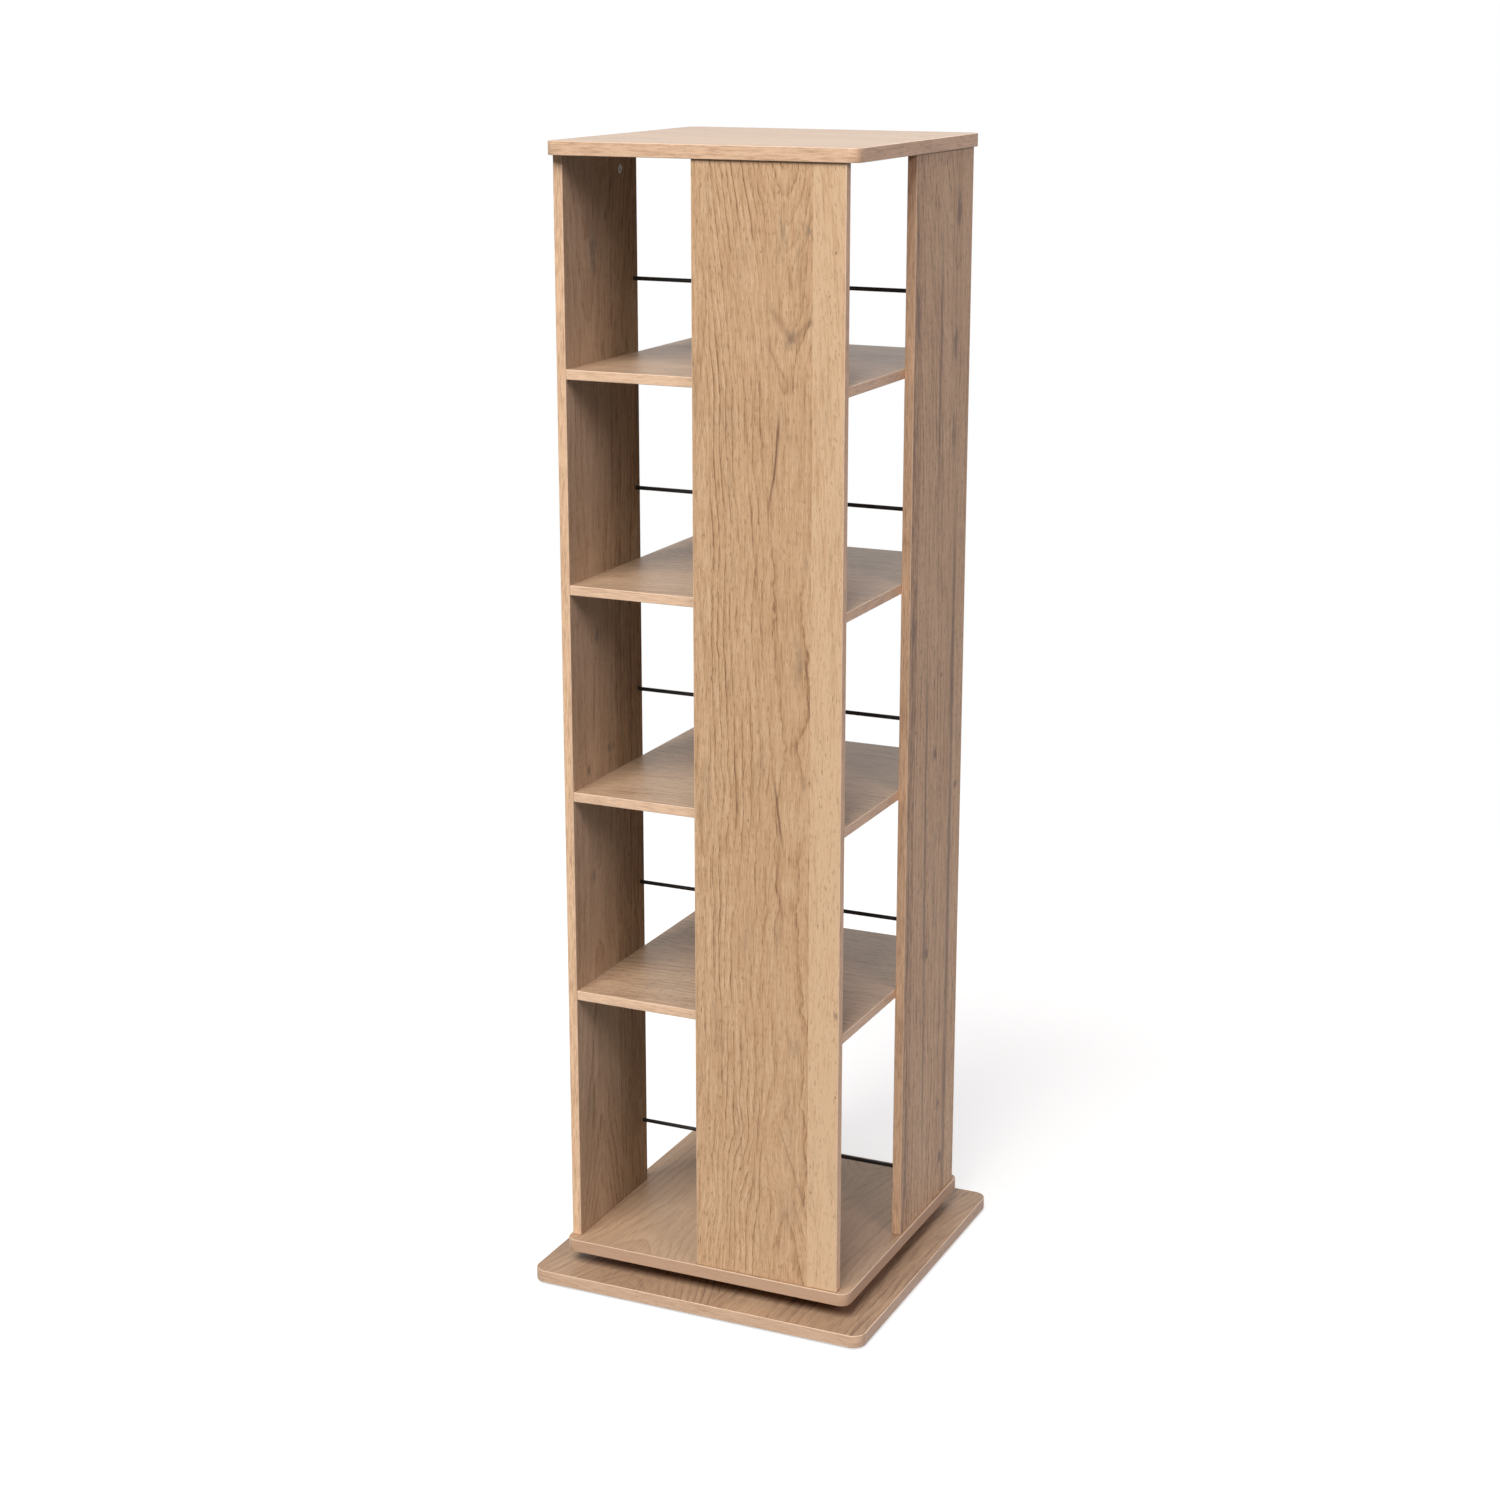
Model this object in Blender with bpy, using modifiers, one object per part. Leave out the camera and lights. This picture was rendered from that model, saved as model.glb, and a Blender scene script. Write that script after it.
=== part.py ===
"""Five-tier revolving bookcase.

A square board tower turns on a pressed-steel ball swivel above a wider square base board.
Four uprights stand round the tower like the blades of a pinwheel: each is fixed to the outside
of the shelves and reaches a little past the middle of its side, so that every tier is open at
all four corners. The origin is on the floor, on the swivel's axis. +Z is up, and -Y is the front.
"""

import math

import bmesh
import bpy
from mathutils import Matrix, Vector

# Boards
SHELF_SIDE = 0.360
SHELF_THICKNESS = 0.012
SHELF_COUNT = 4
UPRIGHT_THICKNESS = 0.012
UPRIGHT_PAST_CENTRE = 0.010      # how far an upright's inner edge passes the middle of its side
TOP_THICKNESS = 0.016
FLOOR_THICKNESS = 0.016
PLATE_OVERHANG = 0.003           # top board and revolving floor, past the uprights' outer faces
PLATE_CORNER_RADIUS = 0.013
BASE_SIDE = 0.454
BASE_THICKNESS = 0.016
BASE_CORNER_RADIUS = 0.017
ARRIS = 0.0008                   # eased edge of the edge banding

# Clear heights of the tiers
BOTTOM_TIER_HEIGHT = 0.322
UPPER_TIER_HEIGHT = 0.247

# Fits
SEAT_GAP = 0.0003                # between faces that touch
HOLE_GAP = 0.0003                # round anything that sits in a hole
OVERRUN = 0.002                  # of a cutter past the surface it opens
MERGE = 0.00001

# Guard rods
ROD_RADIUS = 0.0025
ROD_HEIGHT = 0.090               # rod's axis above the board below it
ROD_SOCKET_DEPTH = 0.006

# Cam fittings: a cam in one board draws in a bolt that stands in its neighbour
CAM_RADIUS = 0.006
CAM_SETBACK = 0.024              # cam's axis from the edge that the bolt leaves by
CAM_INSET = 0.043                # fitting from the upright's inner edge
CAM_SKIN = 0.003                 # board left behind a cam
CAM_SLOT_WIDTH = 0.0016
CAM_SLOT_DEPTH = 0.0012
CAM_SLOT_LENGTH = 0.008
BOLT_RADIUS = 0.0025
BOLT_SKIN = 0.004                # board left behind a bolt's tip

# Screws
FLOOR_SCREW_RADIUS = 0.002
FLOOR_SCREW_HEAD_RADIUS = 0.004
FLOOR_SCREW_HEAD_DEPTH = 0.0025
FLOOR_SCREW_GRIP = 0.024         # in the foot of an upright
FLOOR_SCREW_INSET = 0.040        # from each vertical edge of an upright
PLATE_SCREW_RADIUS = 0.0019
PLATE_SCREW_HEAD_RADIUS = 0.0042
PLATE_SCREW_HEAD_HEIGHT = 0.0022
PLATE_SCREW_SKIN = 0.005         # board left behind a swivel screw's tip
PLATE_SCREW_INSET = 0.014        # from the swivel plate's edges
SCREW_TIP_SHARE = 0.25           # pointed part of a screw's shank

# Floor glides
GLIDE_RADIUS = 0.011
GLIDE_HEIGHT = 0.003
GLIDE_CHAMFER = 0.0008
GLIDE_PIN_RADIUS = 0.0012
GLIDE_PIN_LENGTH = 0.009
GLIDE_INSET = 0.038              # corner glides from the base board's edges

# Swivel: two pressed plates with a ball race between them
SWIVEL_SIDE = 0.200
SWIVEL_CORNER_RADIUS = 0.012
SHEET = 0.0018
BALL_RADIUS = 0.004
BALL_COUNT = 16
RACE_GAP = 0.0003                # between a ball and its race
RACE_LIFT = 0.0031               # between the groove's back and the board it is screwed to
RACE_HALF_ANGLE = math.radians(40.0)
TABLE_MARGIN = 0.008             # raised table outside the race's groove
DRAW_RUN = 0.003                 # sloping side of the pressed table
FLANGE_LAP = 0.004               # level ring outside the slope
FLANGE_MARGIN = 0.007            # flat left outside that ring, at the middle of each side
EYELET_INSET = 0.031             # eyelet's tube inside the circle of the balls
EYELET_PLAY = 0.0014             # between the tube and the upper plate's hole
EYELET_LIFT = 0.0005             # between the rolled rim and the upper plate
EYELET_RIM = 0.005               # reach of the rolled rim past the tube
CAGE_HALF_WIDTH = 0.0055
CAGE_THICKNESS = 0.002

# Facets
CORNER_SEGMENTS = 5
ROUND_STEPS = 32
SMALL_STEPS = 12
BOLT_STEPS = 8
ROD_RESOLUTION = 4
RACE_POINTS = 5
BALL_SEGMENTS = 8
BALL_RINGS = 6
SMOOTH_ANGLE = math.radians(35.0)

SIDES = ("front", "right", "back", "left")

# Levels, worked out from the floor up
SWIVEL_HEIGHT = 2 * (RACE_LIFT + SHEET + RACE_GAP + BALL_RADIUS)
BASE_BOTTOM = GLIDE_HEIGHT + SEAT_GAP
BASE_TOP = BASE_BOTTOM + BASE_THICKNESS
SWIVEL_BOTTOM = BASE_TOP + SEAT_GAP
SWIVEL_TOP = SWIVEL_BOTTOM + SWIVEL_HEIGHT
FLOOR_BOTTOM = SWIVEL_TOP + SEAT_GAP
FLOOR_TOP = FLOOR_BOTTOM + FLOOR_THICKNESS
LOWEST_SHELF_BOTTOM = FLOOR_TOP + BOTTOM_TIER_HEIGHT
SHELF_PITCH = SHELF_THICKNESS + UPPER_TIER_HEIGHT
TOP_BOTTOM = LOWEST_SHELF_BOTTOM + SHELF_COUNT * SHELF_PITCH
SHELF_BOTTOMS = [LOWEST_SHELF_BOTTOM + i * SHELF_PITCH for i in range(SHELF_COUNT)]

# Plan sizes that follow
HALF_SHELF = SHELF_SIDE / 2
UPRIGHT_WIDTH = HALF_SHELF + UPRIGHT_PAST_CENTRE
UPRIGHT_INNER_FACE = HALF_SHELF + SEAT_GAP
PLATE_SIDE = 2 * (UPRIGHT_INNER_FACE + UPRIGHT_THICKNESS + PLATE_OVERHANG)
UPRIGHT_BOTTOM = FLOOR_TOP + SEAT_GAP
UPRIGHT_HEIGHT = TOP_BOTTOM - SEAT_GAP - UPRIGHT_BOTTOM
FITTING_OFFSET = CAM_INSET - UPRIGHT_PAST_CENTRE     # cam fitting from the middle of its side
GROOVE_REACH = BALL_RADIUS + RACE_GAP
GROOVE_HALF_WIDTH = GROOVE_REACH * math.sin(RACE_HALF_ANGLE)
RACE_RADIUS = (SWIVEL_SIDE / 2 - FLANGE_MARGIN - FLANGE_LAP - DRAW_RUN - TABLE_MARGIN
               - GROOVE_HALF_WIDTH)                  # circle of the balls' centres
EYELET_RADIUS = RACE_RADIUS - EYELET_INSET
ROD_LEVELS = [level + ROD_HEIGHT for level in
              [FLOOR_TOP] + [bottom + SHELF_THICKNESS for bottom in SHELF_BOTTOMS]]

OAK = (0.56, 0.36, 0.20, 1.0)
FINISHES = {
    # name: colour, metallic, roughness
    "base_oak": (OAK, 0.0, 0.50),
    "floor_oak": (OAK, 0.0, 0.50),
    "upright_oak": ((0.60, 0.40, 0.22, 1.0), 0.0, 0.50),
    "shelf_oak": ((0.50, 0.32, 0.18, 1.0), 0.0, 0.52),
    "top_oak": ((0.62, 0.44, 0.28, 1.0), 0.0, 0.45),
    "black_rod": ((0.012, 0.012, 0.014, 1.0), 0.0, 0.38),
    "zinc_plate": ((0.55, 0.56, 0.57, 1.0), 1.0, 0.38),
    "nickel_cam": ((0.62, 0.60, 0.56, 1.0), 1.0, 0.34),
    "zinc_screw": ((0.58, 0.58, 0.58, 1.0), 1.0, 0.32),
    "ball_steel": ((0.66, 0.67, 0.68, 1.0), 1.0, 0.20),
    "glide_plastic": ((0.03, 0.03, 0.03, 1.0), 0.0, 0.45),
}


def clear_scene():
    """Remove every object that the file starts with."""
    for item in list(bpy.data.objects):
        bpy.data.objects.remove(item, do_unlink=True)


def new_collection(name):
    """Add a collection to the scene."""
    group = bpy.data.collections.new(name)
    bpy.context.scene.collection.children.link(group)
    return group


def material(finish, name):
    """Make one sub-part's own material from a named finish."""
    colour, metallic, roughness = FINISHES[finish]
    made = bpy.data.materials.new(f"{name}_{finish}")
    made.use_nodes = True
    shader = made.node_tree.nodes["Principled BSDF"]
    shader.inputs["Base Color"].default_value = colour
    shader.inputs["Metallic"].default_value = metallic
    shader.inputs["Roughness"].default_value = roughness
    made.diffuse_color = colour
    return made


def link(name, mesh, group, finish=None):
    """Put a mesh into a collection as an object, with its material."""
    item = bpy.data.objects.new(name, mesh)
    group.objects.link(item)
    if finish:
        item.data.materials.clear()
        item.data.materials.append(material(finish, name))
    return item


def mesh_from(bm, name):
    """Turn a bmesh into a mesh that is smooth across shallow angles."""
    mesh = bpy.data.meshes.new(name)
    bm.to_mesh(mesh)
    bm.free()
    mesh.shade_smooth()
    mesh.set_sharp_from_angle(angle=SMOOTH_ANGLE)
    return mesh


def slab_mesh(name, size, corner_radius=0.0):
    """Model a board round its own centre, with its four upright corners rounded."""
    bm = bmesh.new()
    bmesh.ops.create_cube(bm, size=1.0)
    bmesh.ops.scale(bm, vec=Vector(size), verts=bm.verts)
    if corner_radius:
        corners = [e for e in bm.edges if abs(e.verts[0].co.z - e.verts[1].co.z) > MERGE]
        bmesh.ops.bevel(bm, geom=corners, offset=corner_radius, segments=CORNER_SEGMENTS,
                        profile=0.5, affect="EDGES")
    return mesh_from(bm, name)


def add_rod(bm, start, end, radius, steps, end_radius=None):
    """Add a closed cylinder or cone between two points."""
    start, end = Vector(start), Vector(end)
    run = end - start
    turn = Vector((0, 0, 1)).rotation_difference(run).to_matrix().to_4x4()
    bmesh.ops.create_cone(bm, cap_ends=True, segments=steps, radius1=radius,
                          radius2=radius if end_radius is None else end_radius,
                          depth=run.length, matrix=Matrix.Translation((start + end) / 2) @ turn)


def hidden(name, mesh, group, parent=None):
    """Keep a cutter or a joined-on piece as a guide that isn't part of the model."""
    item = link(name, mesh, group)
    item.hide_render = True
    item.display_type = "WIRE"
    if parent:
        item.parent = parent
    return item


def bore_radius(radius, steps):
    """Radius of a faceted bore whose flats clear a round piece by the gap."""
    return (radius + HOLE_GAP) / math.cos(math.pi / steps)


def combine(item, tool, operation):
    """Cut or join an object with another."""
    step = item.modifiers.new(f"{operation.lower()}_{tool.name}", "BOOLEAN")
    step.operation = operation
    step.object = tool
    step.solver = "EXACT"


def ease_edges(item):
    """Ease a board's sharp edges, as its edge banding is."""
    step = item.modifiers.new("eased_edges", "BEVEL")
    step.width = ARRIS
    step.segments = 1
    step.limit_method = "ANGLE"
    step.angle_limit = SMOOTH_ANGLE * 2


def cutter(name, rods, group, parent):
    """Make one cutter that holds several round bores, given as start, end, radius and steps."""
    bm = bmesh.new()
    for start, end, radius, steps in rods:
        add_rod(bm, start, end, radius, steps)
    return hidden(name, mesh_from(bm, name), group, parent)


def turned_mesh(name, profile, steps, scratch):
    """Turn a profile about Z, from its highest outer point down, and return the solid's mesh."""
    item = spun(name, profile, steps, scratch)
    return baked(item, name)


def spun(name, profile, steps, group):
    """Make an object from a profile in the XZ plane with a Screw modifier."""
    mesh = bpy.data.meshes.new(name)
    points = [(radius, 0.0, height) for radius, height in profile]
    mesh.from_pydata(points, [(i, i + 1) for i in range(len(points) - 1)], [])
    item = hidden(name, mesh, group)
    screw = item.modifiers.new("turned", "SCREW")
    screw.steps = steps
    screw.render_steps = steps
    screw.use_merge_vertices = True
    screw.merge_threshold = MERGE
    screw.use_smooth_shade = True
    return item


def baked(item, name):
    """Read an object's finished mesh, then remove the object."""
    bpy.context.view_layer.update()
    graph = bpy.context.evaluated_depsgraph_get()
    mesh = bpy.data.meshes.new_from_object(item.evaluated_get(graph))
    mesh.name = name
    bpy.data.objects.remove(item, do_unlink=True)
    return mesh


def quarter_turned(point, turns):
    """Turn a plan point about the axis by whole quarter turns."""
    x, y = point
    for _ in range(turns % len(SIDES)):
        x, y = -y, x
    return x, y


def place(item, parent, location, turns=0):
    """Hang an object on its body, turned about Z by whole quarter turns."""
    item.parent = parent
    item.location = location
    item.rotation_euler = (0.0, 0.0, turns * math.pi / 2)


def body(name, group, location):
    """Add the empty that carries one rigid body, on its joint's axis."""
    carrier = bpy.data.objects.new(name, None)
    group.objects.link(carrier)
    carrier.location = location
    return carrier


# Fasteners and glides

def cam_mesh(length, reach, scratch):
    """Model a cam with its bolt: axis Z, slotted face down at z = 0, bolt along -Y.

    The bolt runs from the cam to its tip, reach away from the cam's axis.
    """
    disc = bmesh.new()
    add_rod(disc, (0, 0, 0), (0, 0, length), CAM_RADIUS, SMALL_STEPS)
    item = hidden("cam_blank", mesh_from(disc, "cam_blank"), scratch)
    stem = bmesh.new()
    add_rod(stem, (0, 0, length / 2), (0, -reach, length / 2), BOLT_RADIUS, BOLT_STEPS)
    combine(item, hidden("cam_bolt", mesh_from(stem, "cam_bolt"), scratch), "UNION")
    slot = slab_mesh("cam_slot", (CAM_SLOT_LENGTH, CAM_SLOT_WIDTH, 2 * CAM_SLOT_DEPTH))
    combine(item, hidden("cam_slot", slot, scratch), "DIFFERENCE")
    mesh = baked(item, "cam")
    for name in ("cam_bolt", "cam_slot"):
        bpy.data.objects.remove(bpy.data.objects[name], do_unlink=True)
    return mesh


def floor_screw_mesh(scratch):
    """Model a countersunk screw, point up, with its head's face at z = 0."""
    length = FLOOR_THICKNESS + SEAT_GAP + FLOOR_SCREW_GRIP
    tip = FLOOR_SCREW_GRIP * SCREW_TIP_SHARE
    profile = [(0.0, length), (FLOOR_SCREW_RADIUS, length - tip),
               (FLOOR_SCREW_RADIUS, FLOOR_SCREW_HEAD_DEPTH), (FLOOR_SCREW_HEAD_RADIUS, 0.0),
               (0.0, 0.0)]
    return turned_mesh("floor_screw", profile, SMALL_STEPS, scratch)


def plate_screw_mesh(grip, scratch):
    """Model a pan-head screw, point up, with the underside of its head at z = 0."""
    tip = grip * SCREW_TIP_SHARE
    bevel = PLATE_SCREW_HEAD_HEIGHT / 2
    profile = [(0.0, grip), (PLATE_SCREW_RADIUS, grip - tip), (PLATE_SCREW_RADIUS, 0.0),
               (PLATE_SCREW_HEAD_RADIUS, 0.0), (PLATE_SCREW_HEAD_RADIUS, -bevel),
               (PLATE_SCREW_HEAD_RADIUS - bevel, -PLATE_SCREW_HEAD_HEIGHT),
               (0.0, -PLATE_SCREW_HEAD_HEIGHT)]
    return turned_mesh("plate_screw", profile, SMALL_STEPS, scratch)


def glide_mesh(scratch):
    """Model a nail-on glide, standing on z = 0, with its pin up."""
    tip = GLIDE_HEIGHT + GLIDE_PIN_LENGTH
    profile = [(0.0, tip), (GLIDE_PIN_RADIUS, tip - GLIDE_PIN_RADIUS),
               (GLIDE_PIN_RADIUS, GLIDE_HEIGHT), (GLIDE_RADIUS, GLIDE_HEIGHT),
               (GLIDE_RADIUS, GLIDE_CHAMFER), (GLIDE_RADIUS - GLIDE_CHAMFER, 0.0), (0.0, 0.0)]
    return turned_mesh("glide", profile, SMALL_STEPS, scratch)


def glide_places():
    """List the plan points of the glides, one at each corner."""
    reach = BASE_SIDE / 2 - GLIDE_INSET
    return [quarter_turned((reach, -reach), i) for i in range(len(SIDES))]


def swivel_screw_places():
    """List the plan points of a swivel plate's four screws."""
    reach = SWIVEL_SIDE / 2 - PLATE_SCREW_INSET
    return [quarter_turned((reach, -reach), i) for i in range(len(SIDES))]


def foot_screw_offsets():
    """List where an upright's two foot screws are along its side, from the side's middle."""
    return HALF_SHELF - FLOOR_SCREW_INSET, FLOOR_SCREW_INSET - UPRIGHT_PAST_CENTRE


def floor_screw_places():
    """List the plan point of each screw that holds an upright's foot."""
    middle = UPRIGHT_INNER_FACE + UPRIGHT_THICKNESS / 2
    return [quarter_turned((x, -middle), i) for i in range(len(SIDES))
            for x in foot_screw_offsets()]


# Base and swivel

def build_base(group, cutters, base, scratch):
    """Build the base board and its glides."""
    board = link("base_board", slab_mesh("base_board", (BASE_SIDE, BASE_SIDE, BASE_THICKNESS),
                                         BASE_CORNER_RADIUS), group, "base_oak")
    place(board, base, (0, 0, BASE_BOTTOM + BASE_THICKNESS / 2))
    ease_edges(board)
    half = BASE_THICKNESS / 2
    pin_depth = GLIDE_PIN_LENGTH
    bores = [((x, y, -half - OVERRUN), (x, y, -half + pin_depth),
              bore_radius(GLIDE_PIN_RADIUS, BOLT_STEPS), BOLT_STEPS) for x, y in glide_places()]
    pilot = BASE_THICKNESS - PLATE_SCREW_SKIN + HOLE_GAP
    bores += [((x, y, half + OVERRUN), (x, y, half - pilot),
               bore_radius(PLATE_SCREW_RADIUS, BOLT_STEPS), BOLT_STEPS)
              for x, y in swivel_screw_places()]
    combine(board, cutter("base_bores", bores, cutters, board), "DIFFERENCE")
    glide = glide_mesh(scratch)
    for index, (x, y) in enumerate(glide_places(), start=1):
        item = link(f"floor_glide_{index}", glide.copy(), group, "glide_plastic")
        place(item, base, (x, y, 0))


def race_arc(centre_height, facing):
    """List the points of a race's groove from outside in; facing is -1 below the balls, 1 above.

    The groove's middle is set so that the flats of its turned facets lie as far inside the
    circle of the balls as their corners lie outside it.
    """
    middle = RACE_RADIUS * 2 / (1 + math.cos(math.pi / ROUND_STEPS))
    angles = [RACE_HALF_ANGLE * (1 - 2 * i / (RACE_POINTS - 1)) for i in range(RACE_POINTS)]
    return [(middle + GROOVE_REACH * math.sin(a),
             centre_height + facing * GROOVE_REACH * math.cos(a)) for a in angles]


def table_profile(centre_height, facing, flange_level):
    """List the ball side of a pressed plate, from its flange in to the end of the groove."""
    groove = race_arc(centre_height, facing)
    table_level = groove[0][1]
    table_edge = groove[0][0] + TABLE_MARGIN
    foot = table_edge + DRAW_RUN
    return [(foot + FLANGE_LAP, flange_level), (foot, flange_level),
            (table_edge, table_level)] + groove


def pressed_shell(name, profile, upwards, group):
    """Turn the ball side of a plate and give it the sheet's thickness on the other side."""
    item = spun(name, profile, ROUND_STEPS, group)
    wall = item.modifiers.new("sheet", "SOLIDIFY")
    wall.thickness = SHEET
    wall.offset = -1.0 if upwards else 1.0
    wall.use_even_offset = True
    return item


def swivel_plate(name, profile, upwards, flange_middle, group, cutters, parent):
    """Build one square swivel plate: a flat flange joined to its pressed middle."""
    slab = slab_mesh(name, (SWIVEL_SIDE, SWIVEL_SIDE, SHEET), SWIVEL_CORNER_RADIUS)
    plate = link(name, slab, group, "zinc_plate")
    place(plate, parent, (0, 0, flange_middle))
    opening = profile[0][0] - FLANGE_LAP / 2
    middle = [((0, 0, -SHEET), (0, 0, SHEET), opening, ROUND_STEPS)]
    combine(plate, cutter(f"{name}_opening", middle, cutters, plate), "DIFFERENCE")
    shell = pressed_shell(f"{name}_pressing", profile, upwards, cutters)
    shell.parent = parent
    combine(plate, shell, "UNION")
    holes = [((x, y, -SHEET), (x, y, SHEET), bore_radius(PLATE_SCREW_RADIUS, SMALL_STEPS),
              SMALL_STEPS) for x, y in swivel_screw_places()]
    combine(plate, cutter(f"{name}_holes", holes, cutters, plate), "DIFFERENCE")
    return plate


def build_swivel(group, cutters, base, ring_body, tower, scratch):
    """Build the swivel's two plates, its ball ring and the screws that hold the plates."""
    centre = SWIVEL_BOTTOM + SWIVEL_HEIGHT / 2
    lower = table_profile(centre, -1, SWIVEL_BOTTOM + SHEET)
    upper = table_profile(centre, 1, SWIVEL_TOP - SHEET)
    upper_table = upper[-1][1]
    rim_level = upper_table + SHEET + EYELET_LIFT
    lower += [(EYELET_RADIUS, lower[-1][1]), (EYELET_RADIUS, rim_level),
              (EYELET_RADIUS + EYELET_RIM, rim_level)]
    upper.append((EYELET_RADIUS + EYELET_PLAY, upper_table))
    swivel_plate("swivel_lower_plate", lower, False, SWIVEL_BOTTOM + SHEET / 2, group, cutters,
                 base)
    local = [(radius, height - centre) for radius, height in upper]
    swivel_plate("swivel_upper_plate", local, True, SWIVEL_TOP - SHEET / 2 - centre, group,
                 cutters, tower)
    build_ball_ring(group, cutters, ring_body)
    build_plate_screws("lower", BASE_THICKNESS, SWIVEL_BOTTOM + SHEET + SEAT_GAP, True, group,
                       base, scratch)
    build_plate_screws("upper", FLOOR_THICKNESS, SWIVEL_TOP - SHEET - SEAT_GAP - centre, False,
                       group, tower, scratch)


def build_ball_ring(group, cutters, ring_body):
    """Build the cage with its balls, which roll round between the plates."""
    inner, outer = RACE_RADIUS - CAGE_HALF_WIDTH, RACE_RADIUS + CAGE_HALF_WIDTH
    half = CAGE_THICKNESS / 2
    ring = [(outer, half), (outer, -half), (inner, -half), (inner, half), (outer, half)]
    mesh = turned_mesh("ball_ring", ring, ROUND_STEPS, cutters)
    item = link("ball_ring", mesh, group, "ball_steel")
    place(item, ring_body, (0, 0, 0))
    balls = bmesh.new()
    for index in range(BALL_COUNT):
        angle = 2 * math.pi * index / BALL_COUNT
        spot = Matrix.Translation((RACE_RADIUS * math.cos(angle), RACE_RADIUS * math.sin(angle), 0))
        bmesh.ops.create_uvsphere(balls, u_segments=BALL_SEGMENTS, v_segments=BALL_RINGS,
                                  radius=BALL_RADIUS, matrix=spot)
    combine(item, hidden("balls", mesh_from(balls, "balls"), cutters, ring_body), "UNION")


def build_plate_screws(which, board_thickness, level, downwards, group, parent, scratch):
    """Build the four screws that hold one swivel plate to its board."""
    grip = board_thickness - PLATE_SCREW_SKIN + SHEET + SEAT_GAP
    screw = plate_screw_mesh(grip, scratch)
    for index, (x, y) in enumerate(swivel_screw_places(), start=1):
        item = link(f"swivel_{which}_screw_{index}", screw.copy(), group, "zinc_screw")
        place(item, parent, (x, y, level))
        item.rotation_euler = (math.pi if downwards else 0.0, 0.0, 0.0)


# Tower

def build_floor(group, cutters, tower, centre):
    """Build the revolving floor, with the countersunk holes for the uprights' screws."""
    board = link("revolving_floor", slab_mesh("revolving_floor",
                                              (PLATE_SIDE, PLATE_SIDE, FLOOR_THICKNESS),
                                              PLATE_CORNER_RADIUS), group, "floor_oak")
    place(board, tower, (0, 0, FLOOR_BOTTOM + FLOOR_THICKNESS / 2 - centre))
    ease_edges(board)
    half = FLOOR_THICKNESS / 2
    bores = [((x, y, -half - OVERRUN), (x, y, half + OVERRUN),
              bore_radius(FLOOR_SCREW_RADIUS, BOLT_STEPS), BOLT_STEPS)
             for x, y in floor_screw_places()]
    pilot = FLOOR_THICKNESS - PLATE_SCREW_SKIN + HOLE_GAP
    bores += [((x, y, -half - OVERRUN), (x, y, -half + pilot),
               bore_radius(PLATE_SCREW_RADIUS, BOLT_STEPS), BOLT_STEPS)
              for x, y in swivel_screw_places()]
    combine(board, cutter("floor_bores", bores, cutters, board), "DIFFERENCE")
    sinks = bmesh.new()
    slope = (FLOOR_SCREW_HEAD_RADIUS - FLOOR_SCREW_RADIUS) / FLOOR_SCREW_HEAD_DEPTH
    mouth = bore_radius(FLOOR_SCREW_HEAD_RADIUS + slope * OVERRUN, SMALL_STEPS)
    for x, y in floor_screw_places():
        add_rod(sinks, (x, y, -half - OVERRUN), (x, y, -half + FLOOR_SCREW_HEAD_DEPTH + HOLE_GAP),
                mouth, SMALL_STEPS, end_radius=FLOOR_SCREW_RADIUS)
    combine(board, hidden("floor_sinks", mesh_from(sinks, "floor_sinks"), cutters, board),
            "DIFFERENCE")


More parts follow.
